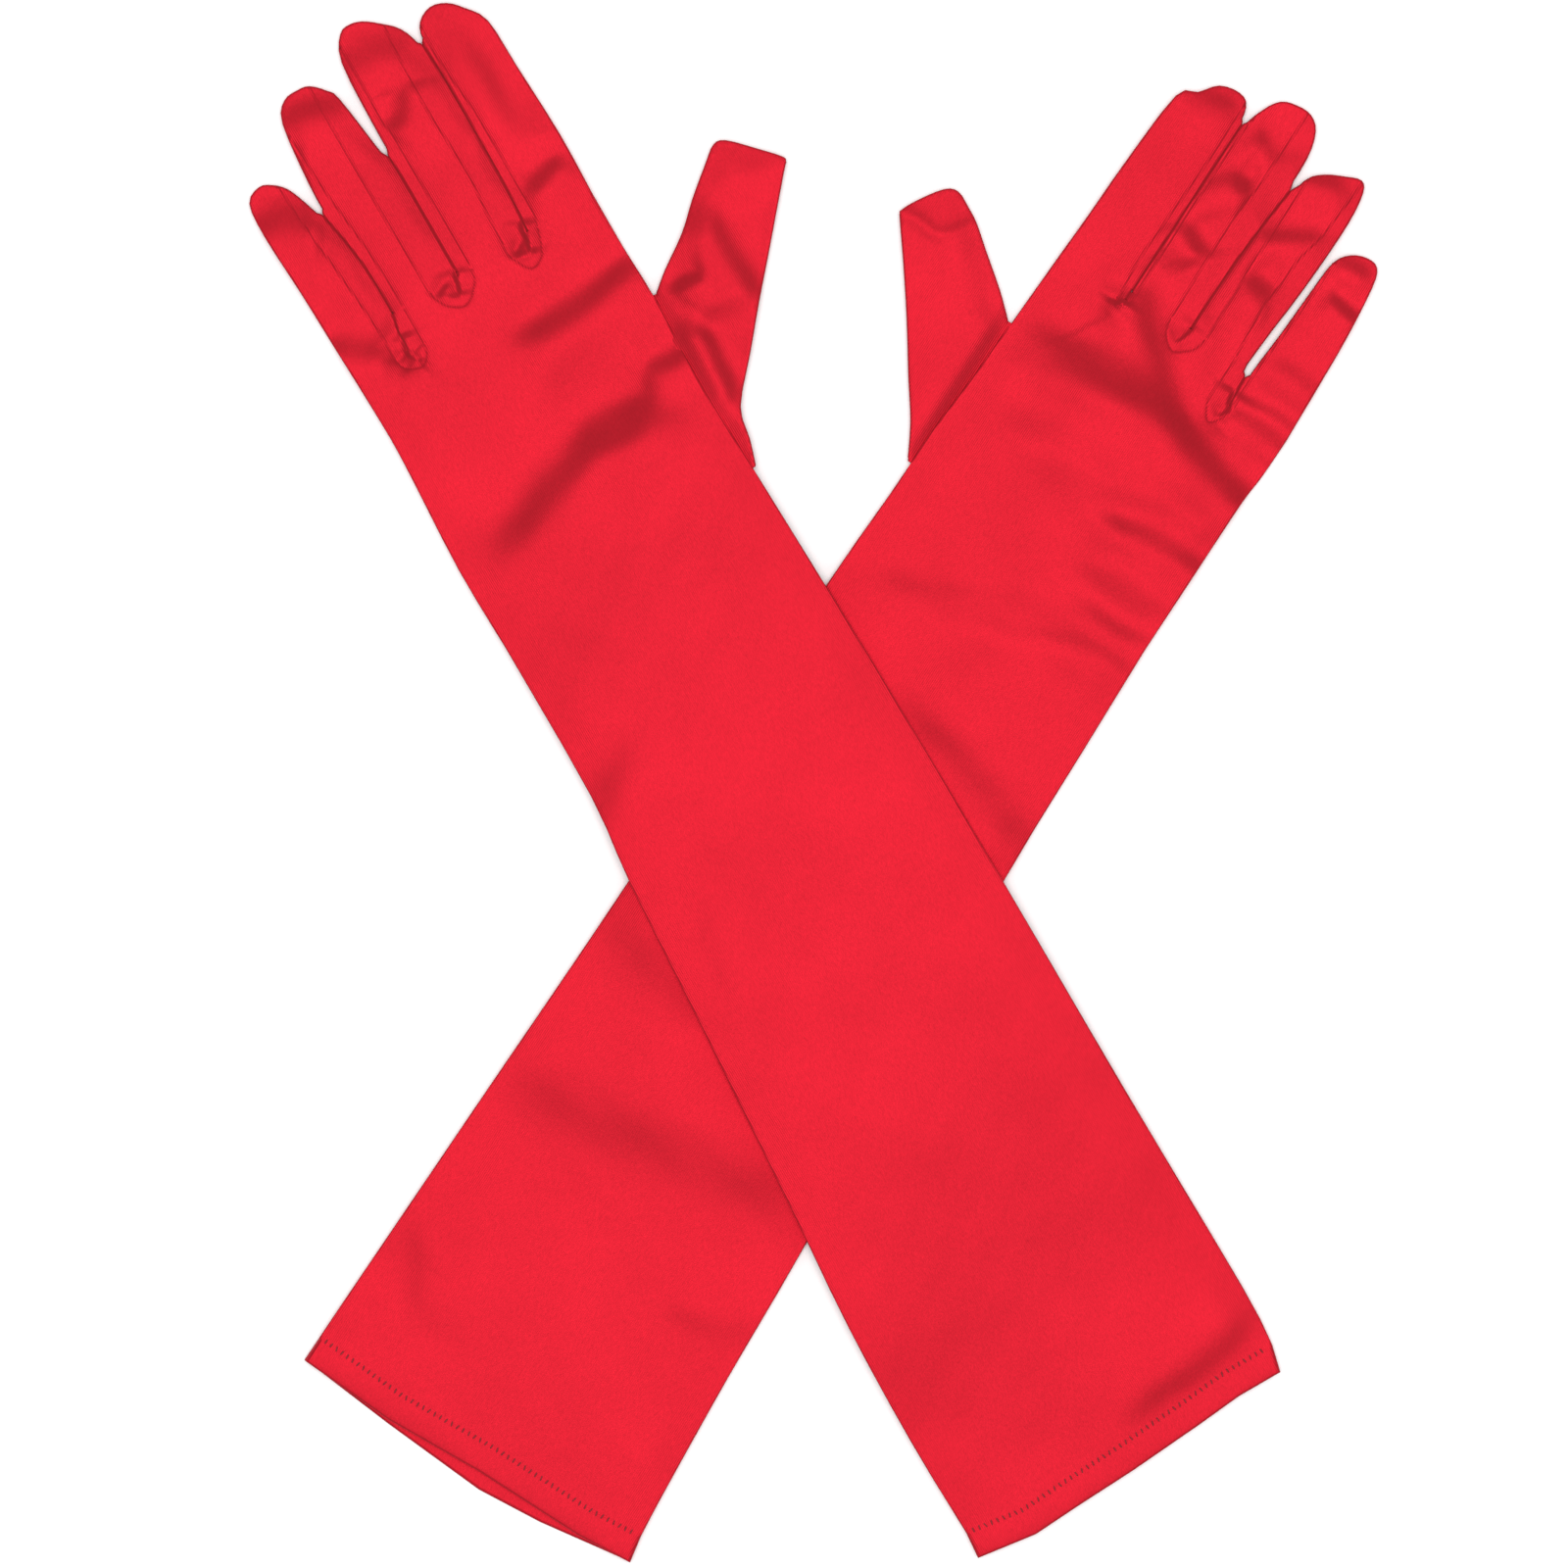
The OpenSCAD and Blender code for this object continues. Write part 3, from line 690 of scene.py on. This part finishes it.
RIGHT_THUMB_FOLDS = [
    ([(-92, 390), (-84, 391), (-76, 391), (-70, 397), (-65, 402)], 0.4, 1.6, 3, "ridge"),
    ([(-78, 392), (-70, 384), (-62, 372)], 0.4, 4, 8),
    ([(-49, 324), (-46, 350), (-44.5, 382)], 0.6, 4, 8),
]
FOLDS = {"left": LEFT_FOLDS, "right": RIGHT_FOLDS}
THUMB_FOLDS = {"left": LEFT_THUMB_FOLDS, "right": RIGHT_THUMB_FOLDS}


# ---- meshes

def filling(outline, lay, step):
    """Points inside an outline: rows beside its sides and its seams, and an even grid between them."""
    stretches = {kind: outline.stretch(kind) for kind in ("side", "seam")}
    stretches["open"] = np.vstack((outline.stretch("root"), outline.stretch("hem")))
    lines = {kind: Lines(rows) for kind, rows in stretches.items() if len(rows) > 3}

    def clear(points, gaps):
        """The points inside the outline that keep these distances from its stretches."""
        ok = inside(points, outline.points)
        for kind, distance in lines.items():
            ok &= distance(points) > gaps[kind]
        return points[ok]

    reach = THUMB_ROUND if lay.thumb else (FINGER_ROUND if step < SLEEVE_STEP else SLEEVE_ROUND)
    kept = []
    for kind, row in [("seam", r) for r in SEAM_ROWS] + [("side", r * reach) for r in ROWS]:
        points, inward = outline.inward(kind)
        if len(points):
            kept.append(clear(points + inward * row, {**ROW_GAPS, kind: 0.96 * row}))
    low, high = outline.points.min(0), outline.points.max(0)
    for start, end, spacing in stages(low[1], high[1], step):
        grid = even_grid((low[0], start), (high[0], end), spacing)
        beyond = 0.4 * spacing
        gaps = {"side": reach + beyond, "seam": SEAM_ROWS[-1] + beyond, "open": 0.45 * spacing}
        kept.append(clear(grid, gaps))
    return thinned(np.vstack(kept), CLOSEST)


def stages(low, high, step):
    """The V spans of a piece that are divided alike: the sleeve is coarser than the hand."""
    if step < SLEEVE_STEP:
        return [(low, high, step)]
    return [(low, HAND_FROM_V, SLEEVE_STEP), (HAND_FROM_V, high, HAND_STEP)]


def even_grid(low, high, step):
    """Points in staggered rows over a rectangle."""
    rows = []
    for k, v in enumerate(np.arange(low[1] + step / 2, high[1], step * 0.866)):
        u = np.arange(low[0] + (0.5 if k % 2 else 0.1) * step, high[0], step)
        rows.append(np.column_stack((u, np.full(len(u), v))))
    return np.vstack(rows)


def thinned(points, gap):
    """The points without those that lie closer than the gap to an earlier one."""
    cells, out = {}, []
    for p in points:
        key = (int(p[0] // gap), int(p[1] // gap))
        near = [q for i in (-1, 0, 1) for j in (-1, 0, 1) for q in cells.get((key[0] + i, key[1] + j), ())]
        if any((p[0] - q[0]) ** 2 + (p[1] - q[1]) ** 2 < gap * gap for q in near):
            continue
        cells.setdefault(key, []).append(p)
        out.append(p)
    return np.array(out)


def added(name, data):
    """A new object in the scene."""
    obj = bpy.data.objects.new(name, data)
    bpy.context.scene.collection.objects.link(obj)
    return obj


def mesh_object(glove, name, verts, faces, normals=None, cloth=None):
    """A smooth-shaded mesh, from places in the glove's frame."""
    mesh = bpy.data.meshes.new(glove.full(name))
    world = np.column_stack((glove.world(verts[:, :2]), verts[:, 2] * MM))
    mesh.from_pydata(world.tolist(), [], faces)
    mesh.update()
    mesh.polygons.foreach_set("use_smooth", np.ones(len(mesh.polygons), bool))
    cloth = verts if cloth is None else cloth
    attribute = mesh.attributes.new("cloth", "FLOAT_VECTOR", "POINT")
    attribute.data.foreach_set("vector", (cloth * MM).astype(np.float32).ravel())
    if normals is not None:
        fixed = np.array([v.normal for v in mesh.vertices])
        use = np.abs(normals).sum(1) > 0
        turned = normals[:, :1] * np.append(glove.u_axis, 0) + normals[:, 1:2] * np.append(glove.v_axis, 0)
        turned[:, 2] = normals[:, 2]
        fixed[use] = turned[use]
        mesh.normals_split_custom_set_from_vertices(fixed.tolist())
    return added(mesh.name, mesh)


def cloth_piece(glove, lay, outline, step):
    """The upper and the lower layer of one piece, joined along its sides."""
    points = np.vstack((outline.points, filling(outline, lay, step)))
    count = len(outline.points)
    ring = [list(range(count))]
    found = delaunay_2d_cdt([Vector(p) for p in points], [], ring, 1, 1e-5)
    flat = np.array([tuple(p) for p in found[0]])
    faces = [list(f) for f in found[2]]
    join, runs_on = outline.at("side"), outline.at("root", "hem")
    edge = np.zeros(len(flat), bool)
    joined = np.zeros(len(flat), bool)
    for i, sources in enumerate(found[3]):
        for s in sources:
            if s < count:
                edge[i] |= runs_on[s]
                joined[i] |= join[s]
    upper, lower = lay(flat)
    upper[joined] = lower[joined] = (upper[joined] + lower[joined]) / 2
    below = np.flatnonzero(~joined)
    place = np.arange(len(flat))
    place[below] = len(flat) + np.arange(len(below))
    first = faces[0]
    area = np.cross(flat[first[1]] - flat[first[0]], flat[first[2]] - flat[first[0]])
    if area < 0:
        faces = [f[::-1] for f in faces]
    verts = np.vstack((np.column_stack((flat, upper)), np.column_stack((flat[below], lower[below]))))
    lower_faces = [[int(place[i]) for i in f[::-1]] for f in faces]
    normals = edge_normals(lay, flat, edge & ~joined, place, len(verts))
    cloth = verts.copy()
    cloth[:, 2] = 0
    cloth[len(flat):, 2] = 20
    return mesh_object(glove, outline.name + "_cloth", verts, faces + lower_faces, normals, cloth)


def edge_normals(lay, flat, open_, place, total):
    """Normals for the open edges, so that the shading runs on into the next piece."""
    normals = np.zeros((total, 3))
    if open_.any():
        upper, lower = lay.slopes(flat[open_])
        ones = np.ones(len(upper))
        normals[np.flatnonzero(open_)] = unit(np.column_stack((upper, ones)))
        normals[place[open_]] = -unit(np.column_stack((lower, ones)))
    return normals


def hem_rings(lay, start, upper_end, lower_end):
    """Rings round the cuff: from the hem line to the cuff's edge, and back inside."""
    rings = []
    for t, turn in HEM_ROWS:
        columns = []
        for end, k in ((upper_end, 0), (lower_end, 1)):
            uv = start + (end - start) * t
            z = lay(uv)[k]
            d = np.clip(lay.side(uv) / 1.5, 0, 1)
            z = z + (1 - 2 * k) * (HEM_PUFF * math.sin(math.pi * t) - HEM_T * turn) * d
            columns.append(np.column_stack((uv, z)))
        up, low = columns
        edge = (up[0] + low[0]) / 2, (up[-1] + low[-1]) / 2
        up[0], up[-1] = edge
        rings.append(np.vstack((up, low[-2:0:-1])))
    return rings


def hem_piece(glove, lay, hem_line, cuff, cuff_low):
    """The turned-in hem: its outer layer, the fold at the cuff's edge and the layer turned inside."""
    start = resampled(hem_line, EDGE_STEP)
    share = run_of(start) / run_of(start)[-1]
    ends = []
    for line in (cuff, cuff_low):
        place = run_of(line) / run_of(line)[-1]
        ends.append(np.column_stack([np.interp(share, place, line[:, k]) for k in (0, 1)]))
    rings = hem_rings(lay, start, *ends)
    around = len(rings[0])
    verts = np.vstack(rings)
    faces = []
    for r in range(len(rings) - 1):
        for i in range(around):
            j = (i + 1) % around
            a, b = r * around, (r + 1) * around
            faces.append([a + i, b + i, b + j, a + j])
    count = len(start)
    normals = np.zeros((len(verts), 3))
    up_slope, low_slope = lay.slopes(start)
    normals[:count] = unit(np.column_stack((up_slope, np.ones(count))))
    normals[0] = normals[count - 1] = 0
    normals[count:around] = -unit(np.column_stack((low_slope, np.ones(count))))[count - 2:0:-1]
    cloth = verts.copy()
    cloth[:, 2] = 0
    return mesh_object(glove, "cuff_hem_cloth", verts, faces, normals, cloth)


def thread_dashes(glove, lay, hem_line):
    """The hem's stitches: short threads across the hem line, on both layers."""
    length = run_of(hem_line)
    verts, faces = [], []
    for k, place in enumerate(np.arange(STITCH_FROM, length[-1] - 2.0, STITCH_PITCH)):
        u = np.interp(place, length, hem_line[:, 0])
        v = np.interp(place, length, hem_line[:, 1])
        lean = 0.25 * math.sin(k * 2.4)
        for layer in (0, 1):
            steps = np.linspace(-1, 1, 5)
            line = np.column_stack((u + lean * steps, v + STITCH_LONG / 2 * steps))
            z = lay(line)[layer] + (1 - 2 * layer) * (0.16 - 0.4 * steps ** 4)
            add_tube(verts, faces, np.column_stack((line, z)), STITCH_R * (1 - 0.45 * steps ** 4))
    return mesh_object(glove, "hem_stitches", np.array(verts), faces)


def add_tube(verts, faces, line, radius, around=6):
    """A round thread along a line, closed at its ends."""
    first = len(verts)
    run = unit(np.gradient(line, axis=0))
    across = unit(np.cross(run, (0, 0, 1.0)))
    up = np.cross(across, run)
    for p, a, b, r in zip(line, across, up, radius * np.ones(len(line))):
        for k in range(around):
            turn = 2 * math.pi * k / around
            verts.append(p + r * (a * math.cos(turn) + b * math.sin(turn)))
    for i in range(len(line) - 1):
        for k in range(around):
            a, b = first + i * around, first + (i + 1) * around
            n = (k + 1) % around
            faces.append([a + k, a + n, b + n, b + k])
    last = first + (len(line) - 1) * around
    faces.append([first + k for k in range(around)])
    faces.append([last + k for k in reversed(range(around))])


def welt(glove, lay, name, line):
    """A sewn side seam: a slim welt along the outline, halfway between the layers."""
    verts, faces = [], []
    line = line[::2] if len(line) > 8 else line
    upper, lower = lay(line)
    add_tube(verts, faces, np.column_stack((line, (upper + lower) / 2)), WELT, 8)
    return mesh_object(glove, name, np.array(verts), faces)


# ---- materials

def set_inputs(tree, node, inputs):
    """Sets a shader node's inputs, each to a value or to another node's output."""
    for name, value in inputs.items():
        if isinstance(value, bpy.types.NodeSocket):
            tree.links.new(value, node.inputs[name])
        elif value is not None:
            node.inputs[name].default_value = value


def add_node(tree, kind, **inputs):
    """A new shader node with its inputs set."""
    node = tree.nodes.new("ShaderNode" + kind)
    set_inputs(tree, node, inputs)
    return node


def new_material(name):
    """A principled material: the material, its node tree and its shader."""
    material = bpy.data.materials.new(name)
    material.use_nodes = True
    return material, material.node_tree, material.node_tree.nodes["Principled BSDF"]


def cloth_places(tree):
    """The cloth's own places, on which its weave and its mottle lie."""
    node = add_node(tree, "Attribute")
    node.attribute_name = "cloth"
    return node.outputs["Vector"]


def noise(tree, where, scale, detail, roughness=0.5):
    """The value of a cloudy texture."""
    node = add_node(tree, "TexNoise", Vector=where, Scale=scale, Detail=detail, Roughness=roughness)
    return node.outputs["Fac"]


def wave(tree, where, direction, scale, distortion=0.0, detail=2.0):
    """The value of an evenly striped texture."""
    node = add_node(tree, "TexWave", Vector=where, Scale=scale, Distortion=distortion, Detail=detail)
    node.bands_direction = direction
    return node.outputs["Fac"]


def ramp(tree, factor, low, high):
    """Colours from a texture's value. Each end is its value and its colour."""
    node = add_node(tree, "ValToRGB", Fac=factor)
    for element, (value, colour) in zip(node.color_ramp.elements, (low, high)):
        element.position = value
        element.color = (*colour, 1)
    return node.outputs["Color"]


def bump(tree, height, strength, distance, under=None):
    """A texture's relief, on top of another one."""
    node = add_node(tree, "Bump", Height=height, Strength=strength, Distance=distance, Normal=under)
    return node.outputs["Normal"]


def satin_colour(tree, where, light, dark):
    """A slow mottle between two reds, times the fine streaks of the weave along the glove."""
    mottle = ramp(tree, noise(tree, where, 26, 5, 0.62), (0.34, dark), (0.66, light))
    drawn = add_node(tree, "Mapping", Vector=where, Scale=(1, 0.3, 1)).outputs["Vector"]
    streaks = ramp(tree, noise(tree, drawn, 1700, 3), (0.3, STREAK), (0.62, WHITE))
    woven = add_node(tree, "Mix")
    woven.data_type = "RGBA"
    woven.blend_type = "MULTIPLY"
    set_inputs(tree, woven, {"Factor": 0.8, "A": mottle, "B": streaks})
    return woven.outputs["Result"]


def satin(name, light, dark, roughness, metallic):
    """Stretch satin: fine ribs along the glove, a slight mottle and a soft sheen."""
    material, tree, shader = new_material(name)
    where = cloth_places(tree)
    ribs = bump(tree, wave(tree, where, "X", RIB_SCALE, 0.8, 1), 0.8, 0.00004)
    set_inputs(tree, shader, {
        "Base Color": satin_colour(tree, where, light, dark),
        "Roughness": roughness,
        "Metallic": metallic,
        "Specular IOR Level": 0.05,
        "Specular Tint": (*VEIL, 1),
        "Sheen Weight": 0.035,
        "Sheen Roughness": 0.8,
        "Normal": bump(tree, noise(tree, where, 1300, 2), 0.7, 0.00005, under=ribs),
    })
    return material


def thread(name, colour):
    """Matt sewing thread with a twist."""
    material, tree, shader = new_material(name)
    twist = bump(tree, wave(tree, cloth_places(tree), "DIAGONAL", 700), 0.5, 0.0001)
    set_inputs(tree, shader, {"Base Color": (*colour, 1), "Roughness": 0.7, "Normal": twist})
    return material


MATERIALS = {
    "satin": satin("red_satin", LIT, DEEP, 0.40, 0.42),
    # A darker copy of the satin: painted shade for the strips and the gussets
    "satin_strips": satin("red_satin_strips", STRIP_PAINTED_SHADE_PALE, STRIP_PAINTED_SHADE_DARK, 0.41, 0.42),
    "satin_hem": satin("red_satin_hem", LIT, DEEP, 0.41, 0.42),
    "satin_seam": satin("red_satin_seam", STRIP_PAINTED_SHADE_PALE, STRIP_PAINTED_SHADE_DARK, 0.5, 0.2),
    "hem_thread": thread("dark_red_thread", THREAD_RED),
}


def dress(glove, obj, slot, *nodes):
    """Gives a piece its material and hides the CAD nodes that it stands for."""
    obj.data.materials.append(MATERIALS[slot])
    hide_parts(*(glove.full(n) for n in nodes))


def cut(obj):
    """Works out the size that a piece of cloth was cut to, both layers opened out flat; nothing is done with it.
    """
    co = np.array([v.co for v in obj.data.vertices])
    area = sum(p.area for p in obj.data.polygons)
    centred = co[:, :2] - co[:, :2].mean(0)
    way = np.linalg.svd(centred, full_matrices=False)[2][0]
    along = centred @ way
    length = max(np.ptp(along), NARROWEST)
    width = max(area / length * SEAMS * ROUNDING, NARROWEST)
    area = min(area, width * length)


# ---- one glove

def divided(glove, loops, trank, gussets, hem_edges):
    """The finely divided outlines of all the pieces that lie side by side."""
    outlines = {}
    for name, loop in loops.items():
        digit = name.split("_")[0]
        others = [l for n, l in loops.items() if n != name and n.startswith(digit) and digit in DIGITS]
        others += [trank] if digit == "gusset" else []
        outlines[name] = Outline(glove, name, loop, others)
    outlines["trank"] = Outline(glove, "trank", trank, [loops[n] for n in gussets], hem=hem_edges)
    close_slits(glove, outlines)
    return outlines


def hem_sides(glove, hem_line, cuff):
    """The hem's two short sides."""
    hem = Outline(glove, "cuff_hem", np.vstack((cuff, hem_line[::-1])))
    far = np.abs(hem.middle[:, 0]) > np.abs(cuff[:, 0]).max() - 2.5
    sides = hem.stretch("side")[far]
    return sides[np.abs(sides[:, 3] - sides[:, 1]) > np.abs(sides[:, 2] - sides[:, 0])]


def fold_at_wrist(glove, obj):
    """Bakes the piece's placement into its mesh; the ends of the wrist's bend are worked out but not used."""
    start, end = (glove.place(0, glove.wrist + v, 0) for v in WRIST_BEND)
    glove.full("forearm")
    glove.full("hand")
    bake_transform(obj)


def fold_at_root(glove, obj, digit):
    """Bakes the piece's placement into its mesh; the ends of the bend at a finger's root are worked out but not
    used.
    """
    root = glove.roots[digit][0]
    start, end = glove.place(0, root, 0), glove.place(0, root + FINGER_BEND, 0)
    glove.full("hand")
    glove.full(digit)
    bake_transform(obj)


def build_piece(glove, lay, outline):
    """The sleeve with the hand, a gusset, or one of a finger's pieces."""
    kind = outline.name.split("_")[0]
    step = {"trank": SLEEVE_STEP, "gusset": GUSSET_STEP}.get(kind, HAND_STEP)
    obj = cloth_piece(glove, lay, outline, step)
    nodes = [outline.name]
    if kind == "trank":
        nodes = ["forearm_panel", "hand_panel"]
        fold_at_wrist(glove, obj)
    elif kind == "gusset":
        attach(obj, glove.full("hand"))
    else:
        fold_at_root(glove, obj, kind)
    # The strips and the gussets take the darker satin, painted shade between the fingers
    slot = "satin_strips" if "strip" in outline.name or kind == "gusset" else "satin"
    dress(glove, obj, slot, *nodes)
    return obj


def build_hem(glove, lay, hem_line, cuff, cuff_low):
    """The hem and its stitches."""
    hem = hem_piece(glove, lay, hem_line, cuff, cuff_low)
    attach(hem, glove.full("forearm"))
    dress(glove, hem, "satin_hem", "cuff_hem")
    stitches = thread_dashes(glove, lay, hem_line)
    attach(stitches, glove.full("forearm"))
    dress(glove, stitches, "hem_thread", "hem_thread")
    cut(hem)


def build_glove(side):
    """All the pieces of one glove."""
    glove = Glove(side)
    hem_line, cuff, cuff_low = hem_parts(glove)
    gussets, fingers = piece_nodes(glove)
    loops = {name: glove.outline(name) for name in gussets + fingers}
    loops.update({name: narrowed(loops[name]) for name in gussets})
    trank = trank_loop(glove, hem_line)
    outlines = divided(glove, loops, trank, gussets, len(hem_line) - 1)
    sides = [o.stretch("side") for o in outlines.values()] + [hem_sides(glove, hem_line, cuff)]
    seams = [o.stretch("seam") for o in outlines.values()]
    lay = Lay(glove, np.vstack(sides), np.vstack(seams), FOLDS[side], False)

    made = {name: build_piece(glove, lay, outline) for name, outline in outlines.items()}
    build_hem(glove, lay, hem_line, cuff, cuff_low)
    sleeve_seam, little_seam = build_seams(glove, lay, trank, loops["little_panel"])
    for name, obj in made.items():
        if name not in gussets:
            cut(obj)
    build_thumb(glove)


def side_seam(glove, lay, name, edge, nodes):
    """The welt of a side seam, along an edge on the little finger's side."""
    edge = resampled(edge[np.argsort(edge[:, 1])], SEAM_STEP)
    inward = np.array((glove.thumb_sign * WELT_IN, 0))
    seam = welt(glove, lay, name, edge + inward)
    dress(glove, seam, "satin_seam", *nodes)
    return seam


def build_seams(glove, lay, trank, little):
    """The side seams of the sleeve with the hand and of the little finger."""
    sign = -glove.thumb_sign
    below_root = trank[:, 1] < glove.roots["little"][0] - 0.1
    edge = trank[(trank[:, 0] * sign > HALF_SLEEVE_MIN) & below_root & (trank[:, 1] > WELT_FROM)]
    sleeve_seam = side_seam(glove, lay, "side_seam", edge, ("forearm_seam", "hand_seam"))
    fold_at_wrist(glove, sleeve_seam)
    middle = (little[:, 0].min() + little[:, 0].max()) / 2
    below_tip = little[:, 1] < little[:, 1].max() - WELT_TO
    edge = little[((little[:, 0] - middle) * sign > 2) & below_tip]
    little_seam = side_seam(glove, lay, "little_side_seam", edge, ("little_seam",))
    fold_at_root(glove, little_seam, "little")
    return sleeve_seam, little_seam


def build_thumb(glove):
    """The thumb, which reaches in under the hand's edge at its root, and its seam."""
    side = glove.side
    loop = node_loop(glove, "thumb_panel")
    inner = THUMB_ROOT[side] * glove.thumb_sign
    low, high = THUMB_OPEN[side]
    corner = (inner, high if glove.thumb_sign < 0 else low)
    loop = start_at(loop, int(np.argmin(np.linalg.norm(loop - corner, axis=1))))
    under = np.array((-glove.thumb_sign * THUMB_UNDER, 0))
    loop = np.vstack((loop, loop[-1] + under, loop[0] + under))
    outline = Outline(glove, "thumb", loop, root=3)
    lay = Lay(glove, outline.stretch("side"), (), THUMB_FOLDS[side], True)
    obj = cloth_piece(glove, lay, outline, HAND_STEP)
    middle = (low + high) / 2
    start = glove.place(inner, middle, 0)
    end = glove.place(inner + glove.thumb_sign * THUMB_BEND, middle, 0)
    glove.full("hand")
    glove.full("thumb")
    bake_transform(obj)
    dress(glove, obj, "satin", "thumb_panel")
    sides = outline.points[outline.kinds == "side"]
    tip = int(np.argmax(sides[:, 0] * glove.thumb_sign))
    lower = sides[:tip - 1] if glove.thumb_sign > 0 else sides[tip + 2:]
    seam = welt(glove, lay, "thumb_side_seam", lower + np.array((0, 0.3)))
    glove.full("hand")
    glove.full("thumb")
    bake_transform(seam)
    dress(glove, seam, "satin_seam", "thumb_seam")
    cut(obj)


build_glove("right")
build_glove("left")


# ---- floor, light and camera

def floor():
    mesh = bpy.data.meshes.new("floor")
    half, z = 3.0, FLOOR_Z
    corners = [(-half, -half, z), (half, -half, z), (half, half, z), (-half, half, z)]
    mesh.from_pydata(corners, [], [[0, 1, 2, 3]])
    material, tree, shader = new_material("white_floor")
    white = (0.97, 0.97, 0.97, 1)
    set_inputs(tree, shader, {"Base Color": white, "Roughness": 0.9, "Specular IOR Level": 0.1})
    mesh.materials.append(material)
    added("floor", mesh)


def overhead_light():
    data = bpy.data.lights.new("overhead", "AREA")
    data.shape = "RECTANGLE"
    data.size, data.size_y = LIGHT_SIZE
    data.energy = LIGHT_POWER
    added("overhead", data).location = (0, 0, LIGHT_Z)


def pale_room():
    world = bpy.data.worlds.new("pale_room")
    world.use_nodes = True
    tree = world.node_tree
    set_inputs(tree, tree.nodes["Background"], {"Color": (*WHITE, 1), "Strength": ROOM})
    bpy.context.scene.world = world


def camera():
    data = bpy.data.cameras.new("camera")
    data.lens = LENS
    data.sensor_width = SENSOR
    obj = added("camera", data)
    obj.location = (VIEW_X, 0, VIEW_WIDTH * LENS / SENSOR)
    bpy.context.scene.camera = obj


floor()
overhead_light()
pale_room()
camera()
bpy.context.scene.view_settings.view_transform = "Standard"
